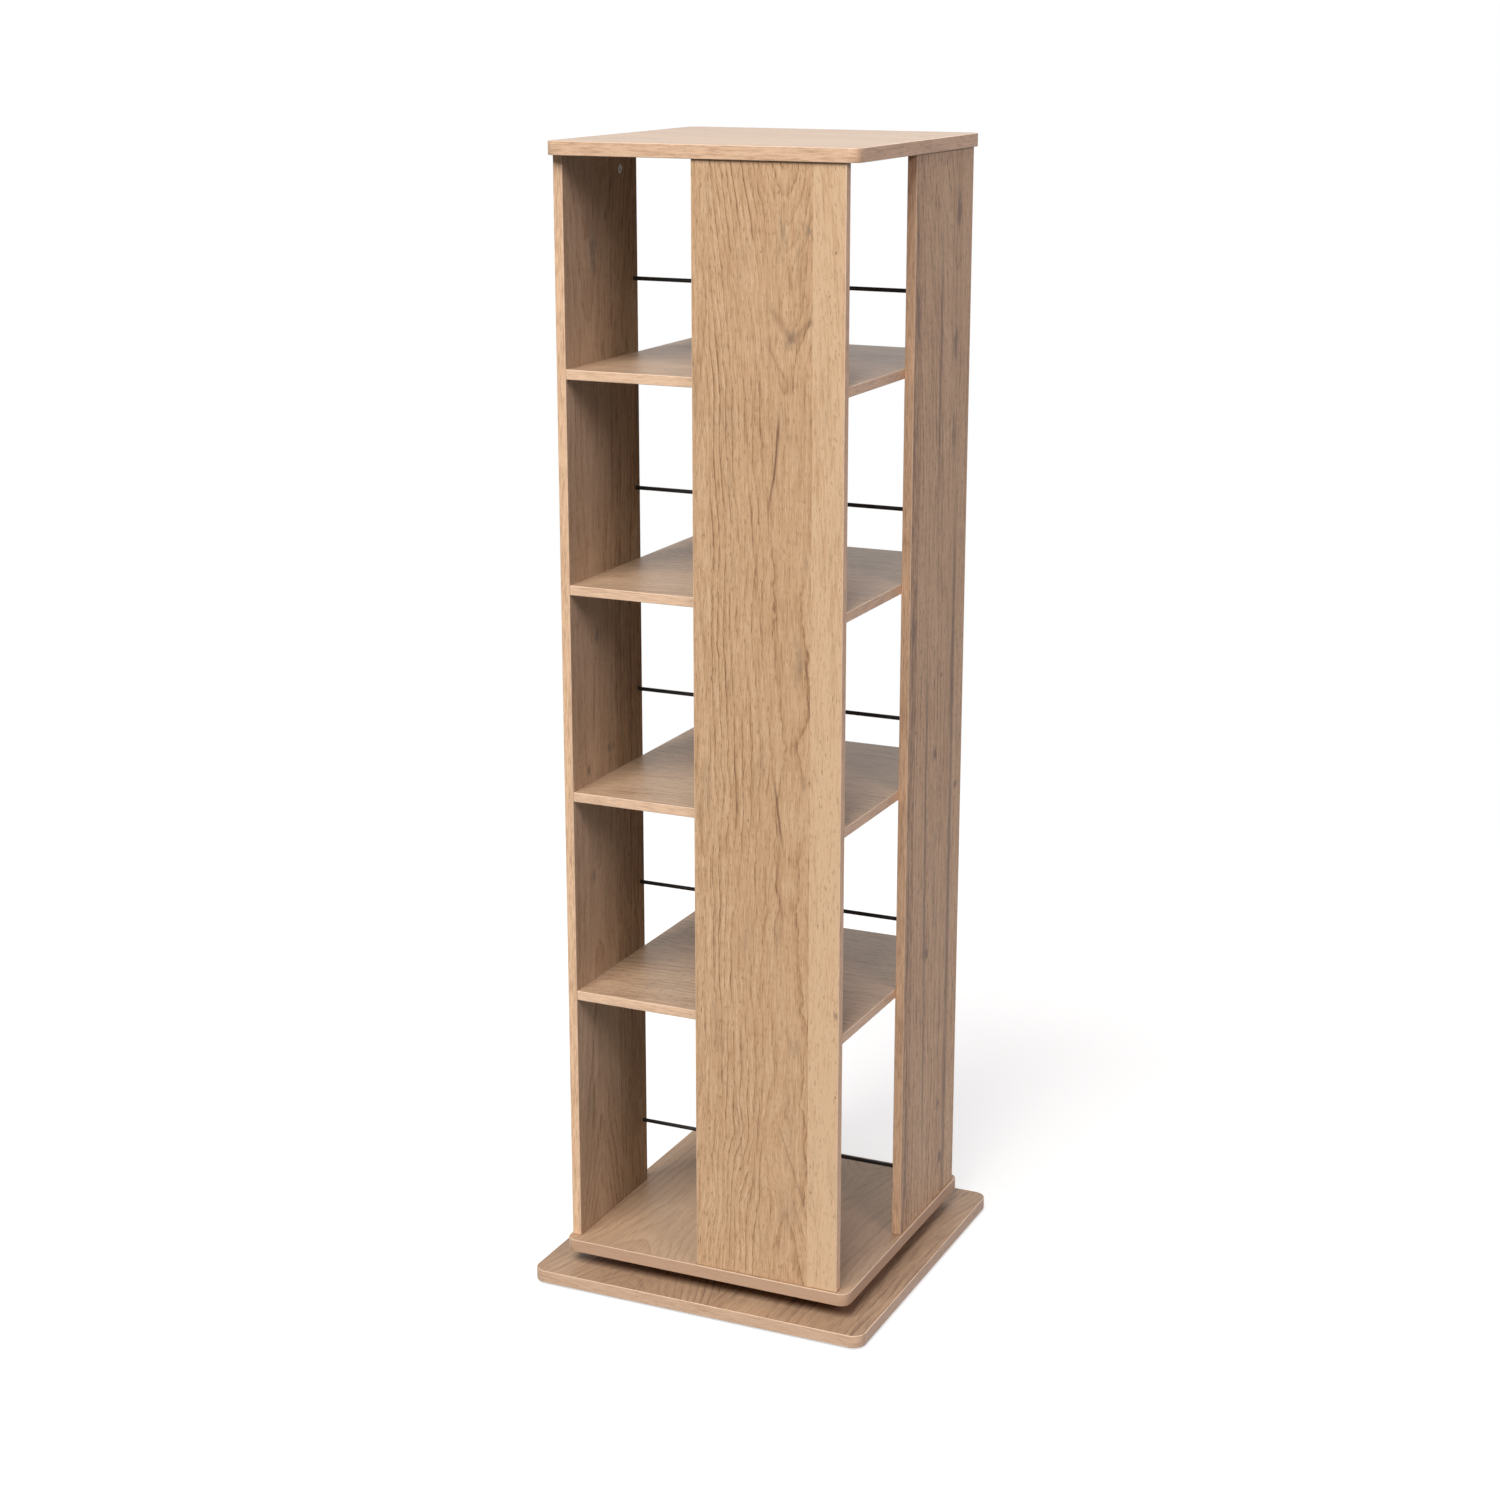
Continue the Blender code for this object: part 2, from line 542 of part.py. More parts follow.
def build_upright(turns, group, cutters, tower, centre):
    """Build one upright in its own frame: X across it, Y through it, Z up, inner face at +Y."""
    name = f"upright_{SIDES[turns]}"
    size = (UPRIGHT_WIDTH, UPRIGHT_THICKNESS, UPRIGHT_HEIGHT)
    item = link(name, slab_mesh(name, size), group, "upright_oak")
    middle_x = (HALF_SHELF - UPRIGHT_PAST_CENTRE) / 2
    middle_y = -(UPRIGHT_INNER_FACE + UPRIGHT_THICKNESS / 2)
    middle_z = UPRIGHT_BOTTOM + UPRIGHT_HEIGHT / 2
    x, y = quarter_turned((middle_x, middle_y), turns)
    place(item, tower, (x, y, middle_z - centre), turns)
    ease_edges(item)
    face = UPRIGHT_THICKNESS / 2
    top = UPRIGHT_HEIGHT / 2
    fitting_x = FITTING_OFFSET - middle_x
    bolt_bore = bore_radius(BOLT_RADIUS, BOLT_STEPS)
    grip = UPRIGHT_THICKNESS - BOLT_SKIN + HOLE_GAP
    holes = []
    for bottom in SHELF_BOTTOMS:
        z = bottom + cam_bolt_height(SHELF_THICKNESS) - middle_z
        holes.append(((fitting_x, face + OVERRUN, z), (fitting_x, face - grip, z), bolt_bore,
                      BOLT_STEPS))
    if SIDES[turns] in ("right", "left"):
        for level in ROD_LEVELS:
            z = level - middle_z
            holes.append(((-middle_x, face + OVERRUN, z), (-middle_x, face - ROD_SOCKET_DEPTH, z),
                          bore_radius(ROD_RADIUS, SMALL_STEPS), SMALL_STEPS))
    cam_floor = face - cam_length(UPRIGHT_THICKNESS) - HOLE_GAP
    holes.append(((fitting_x, face + OVERRUN, top - CAM_SETBACK),
                  (fitting_x, cam_floor, top - CAM_SETBACK),
                  bore_radius(CAM_RADIUS, SMALL_STEPS), SMALL_STEPS))
    combine(item, cutter(f"{name}_face_bores", holes, cutters, item), "DIFFERENCE")
    bolt_y = face - cam_bolt_height(UPRIGHT_THICKNESS)
    ends = [((fitting_x, bolt_y, top + OVERRUN), (fitting_x, bolt_y, top - CAM_SETBACK),
             bolt_bore, BOLT_STEPS)]
    pilot = -top + FLOOR_SCREW_GRIP + HOLE_GAP
    ends += [((x - middle_x, 0, -top - OVERRUN), (x - middle_x, 0, pilot),
              bore_radius(FLOOR_SCREW_RADIUS, BOLT_STEPS), BOLT_STEPS)
             for x in foot_screw_offsets()]
    combine(item, cutter(f"{name}_end_bores", ends, cutters, item), "DIFFERENCE")


def cam_length(thickness):
    """Length of the cam that suits a board."""
    return thickness - CAM_SKIN


def cam_bolt_height(thickness):
    """Height of a bolt's axis above the face that the cam's slot shows in."""
    return SEAT_GAP + cam_length(thickness) / 2


def build_shelf(index, bottom, group, cutters, tower, centre):
    """Build one shelf, with the bores for its four cam fittings."""
    name = f"shelf_{index}"
    size = (SHELF_SIDE, SHELF_SIDE, SHELF_THICKNESS)
    item = link(name, slab_mesh(name, size), group, "shelf_oak")
    place(item, tower, (0, 0, bottom + SHELF_THICKNESS / 2 - centre))
    ease_edges(item)
    half = SHELF_THICKNESS / 2
    setback = HALF_SHELF - CAM_SETBACK
    cams, bolts = [], []
    bolt_z = -half + cam_bolt_height(SHELF_THICKNESS)
    for turns in range(len(SIDES)):
        x, y = quarter_turned((FITTING_OFFSET, -setback), turns)
        cams.append(((x, y, -half - OVERRUN),
                     (x, y, -half + SEAT_GAP + cam_length(SHELF_THICKNESS) + HOLE_GAP),
                     bore_radius(CAM_RADIUS, SMALL_STEPS), SMALL_STEPS))
        out_x, out_y = quarter_turned((FITTING_OFFSET, -HALF_SHELF - OVERRUN), turns)
        bolts.append(((out_x, out_y, bolt_z), (x, y, bolt_z),
                      bore_radius(BOLT_RADIUS, BOLT_STEPS), BOLT_STEPS))
    combine(item, cutter(f"{name}_cam_bores", cams, cutters, item), "DIFFERENCE")
    combine(item, cutter(f"{name}_bolt_bores", bolts, cutters, item), "DIFFERENCE")


def build_shelf_cams(index, bottom, mesh, group, tower, centre):
    """Seat a shelf's four cams, each with its bolt in the upright on its side."""
    for turns, side in enumerate(SIDES):
        x, y = quarter_turned((FITTING_OFFSET, -(HALF_SHELF - CAM_SETBACK)), turns)
        item = link(f"shelf_{index}_cam_{side}", mesh.copy(), group, "nickel_cam")
        place(item, tower, (x, y, bottom + SEAT_GAP - centre), turns)


def build_top(group, cutters, tower, centre, scratch):
    """Build the top board and the cams in the uprights that hold it."""
    board = link("top_board", slab_mesh("top_board", (PLATE_SIDE, PLATE_SIDE, TOP_THICKNESS),
                                        PLATE_CORNER_RADIUS), group, "top_oak")
    place(board, tower, (0, 0, TOP_BOTTOM + TOP_THICKNESS / 2 - centre))
    ease_edges(board)
    half = TOP_THICKNESS / 2
    grip = TOP_THICKNESS - BOLT_SKIN
    inner = UPRIGHT_INNER_FACE + cam_bolt_height(UPRIGHT_THICKNESS)
    spots = [quarter_turned((FITTING_OFFSET, -inner), turns) for turns in range(len(SIDES))]
    bores = [((x, y, -half - OVERRUN), (x, y, -half + grip + HOLE_GAP),
              bore_radius(BOLT_RADIUS, BOLT_STEPS), BOLT_STEPS) for x, y in spots]
    combine(board, cutter("top_bores", bores, cutters, board), "DIFFERENCE")
    mesh = cam_mesh(cam_length(UPRIGHT_THICKNESS), CAM_SETBACK + SEAT_GAP + grip, scratch)
    level = UPRIGHT_BOTTOM + UPRIGHT_HEIGHT - CAM_SETBACK
    for turns, side in enumerate(SIDES):
        item = link(f"top_cam_{side}", mesh.copy(), group, "nickel_cam")
        x, y = quarter_turned((FITTING_OFFSET, -(UPRIGHT_INNER_FACE + SEAT_GAP)), turns)
        place(item, tower, (x, y, level - centre))
        item.rotation_mode = "QUATERNION"
        upright_turn = Matrix.Rotation(turns * math.pi / 2, 4, "Z")
        face_out = Matrix.Rotation(math.pi, 4, "Z") @ Matrix.Rotation(-math.pi / 2, 4, "X")
        item.rotation_quaternion = (upright_turn @ face_out).to_quaternion()


def build_rods(group, tower, centre):
    """Build the guard rod of each tier, from the left upright's socket to the right one's."""
    reach = UPRIGHT_INNER_FACE + ROD_SOCKET_DEPTH - SEAT_GAP
    for index, level in enumerate(ROD_LEVELS, start=1):
        name = f"guard_rod_{index}"
        rod = bpy.data.curves.new(name, "CURVE")
        rod.dimensions = "3D"
        rod.bevel_depth = ROD_RADIUS
        rod.bevel_resolution = ROD_RESOLUTION
        rod.use_fill_caps = True
        line = rod.splines.new("POLY")
        line.points.add(1)
        line.points[0].co = (-reach, 0, 0, 1)
        line.points[1].co = (reach, 0, 0, 1)
        line.use_smooth = True
        place(link(name, rod, group, "black_rod"), tower, (0, 0, level - centre))


def build_tower(group, cutters, tower, centre, scratch):
    """Build everything above the swivel."""
    build_floor(group, cutters, tower, centre)
    screw = floor_screw_mesh(scratch)
    for index, (x, y) in enumerate(floor_screw_places(), start=1):
        item = link(f"floor_screw_{index}", screw.copy(), group, "zinc_screw")
        place(item, tower, (x, y, FLOOR_BOTTOM - centre))
    for turns in range(len(SIDES)):
        build_upright(turns, group, cutters, tower, centre)
    reach = CAM_SETBACK + SEAT_GAP + UPRIGHT_THICKNESS - BOLT_SKIN
    cam = cam_mesh(cam_length(SHELF_THICKNESS), reach, scratch)
    for index, bottom in enumerate(SHELF_BOTTOMS, start=1):
        build_shelf(index, bottom, group, cutters, tower, centre)
        build_shelf_cams(index, bottom, cam, group, tower, centre)
    build_top(group, cutters, tower, centre, scratch)
    build_rods(group, tower, centre)


def build():
    """Build the whole bookcase."""
    clear_scene()
    group = new_collection("revolving_bookcase")
    cutters = new_collection("cutters")
    centre = SWIVEL_BOTTOM + SWIVEL_HEIGHT / 2
    base = body("base_body", group, (0, 0, 0))
    ring_body = body("ring_body", group, (0, 0, centre))
    tower = body("tower_body", group, (0, 0, centre))
    build_base(group, cutters, base, cutters)
    build_swivel(group, cutters, base, ring_body, tower, cutters)
    build_tower(group, cutters, tower, centre, cutters)


build()
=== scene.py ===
"""Visual model of a five-tier revolving bookcase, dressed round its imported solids.

The boards are particle board under an oak print, with banded edges. Each board is made again with
fine rounded edges and its own stretch of the print, and so are the fittings, rods and ball swivel.
"""

import logging
import math
from dataclasses import dataclass, replace
from enum import Enum
from typing import Optional

import bmesh
import bpy
from mathutils import Matrix, Vector


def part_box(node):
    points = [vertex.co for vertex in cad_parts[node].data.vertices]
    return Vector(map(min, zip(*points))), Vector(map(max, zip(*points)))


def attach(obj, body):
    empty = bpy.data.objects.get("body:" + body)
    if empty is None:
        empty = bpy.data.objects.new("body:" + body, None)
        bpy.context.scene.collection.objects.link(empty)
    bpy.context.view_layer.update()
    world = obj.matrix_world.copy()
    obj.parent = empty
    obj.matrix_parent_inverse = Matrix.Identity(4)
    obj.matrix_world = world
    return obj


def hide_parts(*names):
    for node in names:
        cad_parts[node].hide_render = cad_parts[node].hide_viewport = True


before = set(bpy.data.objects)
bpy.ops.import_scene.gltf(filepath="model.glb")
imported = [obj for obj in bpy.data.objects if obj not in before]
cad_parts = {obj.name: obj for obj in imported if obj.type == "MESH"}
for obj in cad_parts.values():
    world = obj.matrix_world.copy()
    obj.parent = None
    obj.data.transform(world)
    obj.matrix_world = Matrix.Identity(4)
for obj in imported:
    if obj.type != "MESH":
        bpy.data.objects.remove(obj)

LOG = logging.getLogger("revolving_bookcase")
MERGE = 0.00001
SMOOTH_ANGLE = math.radians(42.0)
FLAT_FACING = 0.99995
COLOUR_INPUTS = (6, 7)
COLOUR_OUTPUT = 2
NUMBER_INPUTS = (2, 3)

RECESS_TAPER = (0.6, 1.4)
WHITE = (1.0, 1.0, 1.0, 1.0)
BLACK = (0.0, 0.0, 0.0, 1.0)

Socket = bpy.types.NodeSocket
Item = bpy.types.Object
Tone = tuple[float, float, float]
Range = tuple[float, float]
Points = list[tuple[float, float]]
Loop = list[tuple[float, float, float]]


class Axis(Enum):
    """An axis of the bookcase, by its place in a vector."""

    X = 0
    Y = 1
    Z = 2


class Side(Enum):
    """A side of the tower and the way it faces."""

    FRONT = (0, -1)
    RIGHT = (1, 0)
    BACK = (0, 1)
    LEFT = (-1, 0)

    @property
    def label(self) -> str:
        """The side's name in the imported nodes."""
        return self.name.lower()

    @property
    def outward(self) -> Vector:
        """The side's outward direction."""
        return Vector((*self.value, 0.0))

    @property
    def thickness_axis(self) -> Axis:
        """The axis through the thickness of the upright on this side."""
        return Axis.X if self.value[0] else Axis.Y

    @property
    def width_axis(self) -> Axis:
        """The axis across the width of the upright on this side."""
        return Axis.Y if self.value[0] else Axis.X


class BoardFinish(Enum):
    """A board's finish, by its place in the board's list."""

    FACE = 0
    EDGE = 1
    BORE = 2


class Joining(Enum):
    """How one mesh changes another."""

    CUT = "DIFFERENCE"
    WELD = "UNION"


# Shader nodes


class Sketch:
    """Adds shader nodes to one tree and joins them."""

    def __init__(self, tree: bpy.types.NodeTree) -> None:
        """Start on a tree.

        Args:
            tree: The node tree to add to.
        """
        self.tree = tree

    def add(self, kind: str, **settings: object) -> bpy.types.Node:
        """Add a node.

        Args:
            kind: The node's type without its ShaderNode prefix.
            **settings: Properties to set on it.

        Returns:
            The new node.
        """
        node = self.tree.nodes.new(f"ShaderNode{kind}")
        for key, value in settings.items():
            setattr(node, key, value)
        return node

    def feed(self, socket: Socket, value: object) -> None:
        """Join a socket to another, or set it to a constant.

        Args:
            socket: The input to feed.
            value: An output socket, a number or a tuple.
        """
        if isinstance(value, Socket):
            self.tree.links.new(value, socket)
        else:
            socket.default_value = value

    def feed_all(self, node: bpy.types.Node, values: dict[str, object]) -> None:
        """Feed several inputs of a node.

        Args:
            node: The node.
            values: What each input is fed, by its name.
        """
        for name, value in values.items():
            self.feed(node.inputs[name], value)

    def math(self, operation: str, *values: object, clamp: bool = False) -> Socket:
        """Add a Math node.

        Args:
            operation: The node's operation.
            *values: Its operands.
            clamp: Whether the result is held between 0 and 1.

        Returns:
            The result.
        """
        node = self.add("Math", operation=operation, use_clamp=clamp)
        for socket, value in zip(node.inputs, values):
            self.feed(socket, value)
        return node.outputs[0]

    def total(self, *values: object) -> Socket:
        """Add several values together.

        Args:
            *values: The values to add.

        Returns:
            Their sum.
        """
        result = values[0]
        for value in values[1:]:
            result = self.math("ADD", result, value)
        return result

    def scaled(self, value: object, factor: object) -> Socket:
        """Multiply two values."""
        return self.math("MULTIPLY", value, factor)

    def centred(self, value: object, width: float) -> Socket:
        """Move a 0 to 1 value to lie round zero, over a given width."""
        return self.scaled(self.math("SUBTRACT", value, 0.5), width)

    def rest(self, value: object) -> Socket:
        """Take a value from 1."""
        return self.math("SUBTRACT", 1.0, value)

    def bell(self, *offsets: object) -> Socket:
        """Make a bump of height 1 that falls off with the square of the offsets.

        Args:
            *offsets: Distances from the middle, in units of the bump's reach.

        Returns:
            The bump's height.
        """
        squares = [self.scaled(offset, offset) for offset in offsets]
        return self.math("EXPONENT", self.scaled(self.total(*squares), -1.0))

    def vector(self, x: object, y: object, z: object) -> Socket:
        """Put three values together.

        Args:
            x: The first value.
            y: The second value.
            z: The third value.

        Returns:
            The vector.
        """
        node = self.add("CombineXYZ")
        for socket, value in zip(node.inputs, (x, y, z)):
            self.feed(socket, value)
        return node.outputs[0]

    def noise(self, vector: Socket, scale: float, detail: float = 2.0,
              roughness: float = 0.5) -> Socket:
        """Add a noise.

        Args:
            vector: Where to read it.
            scale: Its scale.
            detail: Its number of octaves.
            roughness: The strength of the finer octaves.

        Returns:
            A value round a half.
        """
        node = self.add("TexNoise")
        self.feed_all(node, {"Vector": vector, "Scale": scale, "Detail": detail,
                             "Roughness": roughness})
        return node.outputs["Fac"]

    def band(self, value: Socket, low: float, high: float) -> Socket:
        """Rise smoothly from 0 at one value to 1 at another.

        Args:
            value: The value that it follows.
            low: Where it starts to rise.
            high: Where it is full.

        Returns:
            The risen value.
        """
        node = self.add("MapRange", interpolation_type="SMOOTHSTEP")
        self.feed_all(node, {"Value": value, "From Min": low, "From Max": high})
        return node.outputs["Result"]

    def mix(self, factor: object, first: object, second: object, blend: str = "MIX") -> Socket:
        """Mix two colours.

        Args:
            factor: How much of the second is taken.
            first: The first colour.
            second: The second colour.
            blend: The way they are mixed.

        Returns:
            The mixed colour.
        """
        node = self.add("Mix", data_type="RGBA", blend_type=blend)
        self.feed(node.inputs["Factor"], factor)
        for place, colour in zip(COLOUR_INPUTS, (first, second)):
            self.feed(node.inputs[place], colour)
        return node.outputs[COLOUR_OUTPUT]

    def pick(self, past: Socket, first: object, second: object) -> Socket:
        """Pick one of two numbers.

        Args:
            past: 0 for the first and 1 for the second.
            first: The first number.
            second: The second number.

        Returns:
            The number that was picked.
        """
        node = self.add("Mix", data_type="FLOAT")
        self.feed(node.inputs["Factor"], past)
        for place, value in zip(NUMBER_INPUTS, (first, second)):
            self.feed(node.inputs[place], value)
        return node.outputs[0]

    def ramp(self, factor: Socket, stops: tuple[tuple[float, Tone], ...]) -> Socket:
        """Add a colour ramp.

        Args:
            factor: The value that it reads.
            stops: Pairs of position and colour.

        Returns:
            The colour.
        """
        node = self.add("ValToRGB")
        elements = node.color_ramp.elements
        while len(elements) < len(stops):
            elements.new(0.5)
        for element, (position, colour) in zip(elements, stops):
            element.position = position
            element.color = (*colour, 1.0)
        self.feed(node.inputs["Fac"], factor)
        return node.outputs["Color"]

    def bump(self, height: Socket, distance: float, strength: float = 1.0) -> Socket:
        """Turn a height into a normal.

        Args:
            height: The height.
            distance: How far a height of 1 stands out.
            strength: How strongly it is felt.

        Returns:
            The normal.
        """
        node = self.add("Bump")
        self.feed_all(node, {"Height": height, "Distance": distance, "Strength": strength})
        return node.outputs["Normal"]

    def place(self) -> tuple[Socket, Socket, Socket]:
        """Read the point's place on the bookcase.

        Returns:
            Its X, Y and Z, in metres.
        """
        coordinates = self.add("TexCoord").outputs["Object"]
        split = self.add("SeparateXYZ")
        self.feed(split.inputs[0], coordinates)
        return tuple(split.outputs)


def new_material(name: str) -> tuple[bpy.types.Material, Sketch, bpy.types.Node]:
    """Start a material.

    Args:
        name: Its name.

    Returns:
        The material, a sketch of its tree and its Principled node.
    """
    material = bpy.data.materials.new(name)
    material.use_nodes = True
    return material, Sketch(material.node_tree), material.node_tree.nodes["Principled BSDF"]


# Finishes


@dataclass(frozen=True)
class Knot:
    """A knot or grey smudge that the grain bends round.

    Places are in metres across and along the board.
    """

    across: float
    along: float
    radius: float
    stain: float = 0.6
    pull: float = 0.6
    stretch: float = 2.2


@dataclass(frozen=True)
class Streak:
    """A dark line that runs along the grain, like a closed crack."""

    across: float
    along: float
    half_length: float
    half_width: float = 0.0016
    lean: float = 0.0
    depth: float = 0.5


@dataclass(frozen=True)
class Plank:
    """One plank of the print, which starts at an edge across the board.

    The rings are those of a log whose pith lies behind the face: pith is its place across the
    board, reach its least depth, rise how much deeper it lies at middle than a span away.
    """

    edge: float = -1.0
    pith: float = 0.0
    reach: float = 0.03
    rise: float = 0.05
    middle: float = 0.7
    tone: float = 0.0
    ring: float = 0.0085
    lines: float = 1.0
    speckle: float = 0.5


@dataclass(frozen=True)
class Figure:
    """The figure of one board's face: its planks, knots and streaks."""

    planks: tuple[Plank, ...] = (Plank(),)
    knots: tuple[Knot, ...] = ()
    streaks: tuple[Streak, ...] = ()
    seed: float = 0.0
    span: float = 0.75
    seam: float = 0.12


@dataclass(frozen=True)
class OakTones:
    """The colours of the oak print, from the pores to the palest wood."""

    pore: Tone = (0.200, 0.105, 0.052)
    dark: Tone = (0.400, 0.228, 0.118)
    mid: Tone = (0.575, 0.358, 0.198)
    pale: Tone = (0.665, 0.440, 0.258)
    bright: Tone = (0.745, 0.520, 0.320)
    veil: Tone = (0.320, 0.225, 0.140)


TAUPE_TONES = OakTones((0.210, 0.130, 0.082), (0.330, 0.212, 0.134), (0.415, 0.275, 0.172),
                       (0.480, 0.327, 0.210), (0.540, 0.375, 0.248), (0.300, 0.205, 0.135))
UMBER_TONES = OakTones(pore=(0.165, 0.078, 0.042), veil=(0.205, 0.112, 0.068))


@dataclass(frozen=True)
class Spot:
    """A place on a board's face, across and along its grain, with the seed of its figure."""

    across: object
    along: object
    seed: object


@dataclass(frozen=True)
class Grain:
    """A noise drawn out along the grain, by how many times a metre it varies each way."""

    across: float
    along: float
    detail: float = 2.0
    roughness: float = 0.5
    scale: float = 1.0

    def read(self, sketch: Sketch, spot: Spot) -> Socket:
        """Read the noise.

        Args:
            sketch: The sketch to add it to.
            spot: Where to read it.

        Returns:
            A value round a half.
        """
        place = sketch.vector(sketch.scaled(spot.across, self.across),
                              sketch.scaled(spot.along, self.along), spot.seed)
        return sketch.noise(place, self.scale, self.detail, self.roughness)


class OakLayers:
    """The layers of an oak print, drawn one after another in a material's nodes.

    Widths are in metres. A band is a pair of values, between which its layer comes up.
    """

    PLANK_SEED = 5.3
    SEAM_WIDTH = 0.0006
    STIR, STIR_WIDTH = Grain(230.0, 42.0, 4.0, 0.65), 3.4
    KNOT_BAND = (0.25, 1.25)
    BREAK_UP, BREAK_UP_SHARE = Grain(200.0, 40.0), 2.0
    DRIFT, DRIFT_WIDTH = Grain(2.0, 2.4), 0.034
    WAVE, WAVE_WIDTH = Grain(7.0, 9.0, 3.0), 0.020
    WOBBLE, WOBBLE_WIDTH, PATH_WOBBLE_WIDTH = Grain(40.0, 13.0, 3.0), 0.0052, 0.008
    RIPPLE, RIPPLE_WIDTH = Grain(150.0, 90.0), 0.0016
    RING_POWER = 1.7
    PARTING = 0.06
    LEAST_RING, RING_CHANCE = 0.40, 0.60
    PATCH, PATCH_BAND = Grain(26.0, 6.0, 3.0), (0.28, 0.62)
    LATE_BAND, LINE_BAND, RING_END = (0.25, 0.92), (0.76, 0.92), (0.94, 1.0)
    LEAST_LINE, STEEP_LINE = 0.25, 1.3
    FIBRES = ((Grain(700.0, 52.0, 3.0, 0.6), 1.15), (Grain(340.0, 22.0, 2.0, 0.6), 0.95),
              (Grain(110.0, 5.0, 2.0, 0.6), 0.60))
    DASHES, DASH_BAND = Grain(900.0, 100.0, 2.0, 0.55), (0.60, 0.74)
    LINE_DASHES, SPECKLE_DASHES, DASH_DEPTH = 0.14, 0.05, 0.60
    PIN_CELLS, PIN_SEED = (26.0, 15.0), 3.1
    PIN_BAND, PIN_CHANCE, PIN_DEPTH = (0.010, 0.045), (0.70, 0.80), 0.7
    BROAD = Grain(30.0, 2.2, 4.0, 0.55)
    CLOUD = Grain(30.0, 5.0, 4.0, 0.6, 1.3)

    def __init__(self, sketch: Sketch, figure: Figure, spot: Spot) -> None:
        """Draw every layer.

        Args:
            sketch: The sketch of the material's tree.
            figure: The figure to draw.
            spot: Where the print is read.
        """
        self.sketch = sketch
        self.figure = figure
        self.spot = spot
        self._choose_plank()
        self._bend_round_knots()
        self._draw_streaks()
        self._follow_rings()
        self._draw_rings()
        self._draw_fibres()
        self._draw_pores()
        self._scatter_pins()
        self.broad = self.BROAD.read(sketch, replace(self.spot, across=self.flow))
        self.cloud = self.CLOUD.read(sketch, self.spot)

    def _choose_plank(self) -> None:
        """Choose the plank's figures by the place across the board."""
        sketch, planks = self.sketch, self.figure.planks
        names = ("middle", "tone", "ring", "pith", "reach", "rise", "lines", "speckle")
        self.plank = {name: getattr(planks[0], name) for name in names}
        self.seam: object = 0.0
        index: object = 0.0
        for plank in planks[1:]:
            past = sketch.math("GREATER_THAN", self.spot.across, plank.edge)
            index = sketch.math("ADD", index, past)
            off = sketch.math("SUBTRACT", self.spot.across, plank.edge)
            gap = sketch.math("DIVIDE", off, self.SEAM_WIDTH)
            self.seam = sketch.math("ADD", self.seam, sketch.bell(gap))
            for name in names:
                self.plank[name] = sketch.pick(past, self.plank[name], getattr(plank, name))
        seed = sketch.math("MULTIPLY_ADD", index, self.PLANK_SEED, self.spot.seed)
        self.spot = replace(self.spot, seed=seed)

    def _bend_round_knots(self) -> None:
        """Bend the grain and stain it round each knot."""
        sketch = self.sketch
        self.bend: object = 0.0
        self.stain: object = 0.0
        stir = sketch.centred(self.STIR.read(sketch, self.spot), self.STIR_WIDTH)
        for knot in self.figure.knots:
            off = sketch.math("SUBTRACT", self.spot.across, knot.across)
            side = sketch.math("DIVIDE", off, knot.radius)
            up = sketch.math("DIVIDE", sketch.math("SUBTRACT", self.spot.along, knot.along),
                             knot.radius * knot.stretch)
            bump = sketch.bell(side, up)
            pull = sketch.scaled(off, knot.pull)
            self.bend = sketch.math("MULTIPLY_ADD", bump, pull, self.bend)
            core = sketch.scaled(bump, sketch.band(sketch.math("ADD", bump, stir),
                                                   *self.KNOT_BAND))
            self.stain = sketch.math("MULTIPLY_ADD", core, knot.stain, self.stain)

    def _draw_streaks(self) -> None:
        """Darken the print along each streak."""
        sketch = self.sketch
        self.dark: object = 0.0
        break_up = self.BREAK_UP.read(sketch, self.spot)
        for streak in self.figure.streaks:
            up = sketch.math("SUBTRACT", self.spot.along, streak.along)
            middle = sketch.math("MULTIPLY_ADD", up, streak.lean, streak.across)
            side = sketch.math("SUBTRACT", self.spot.across, middle)
            stray = sketch.centred(break_up, streak.half_width * self.BREAK_UP_SHARE)
            side = sketch.math("DIVIDE", sketch.math("ADD", side, stray), streak.half_width)
            up = sketch.math("DIVIDE", up, streak.half_length)
            bump = sketch.bell(side, sketch.scaled(up, up))
            self.dark = sketch.math("MULTIPLY_ADD", bump, streak.depth, self.dark)

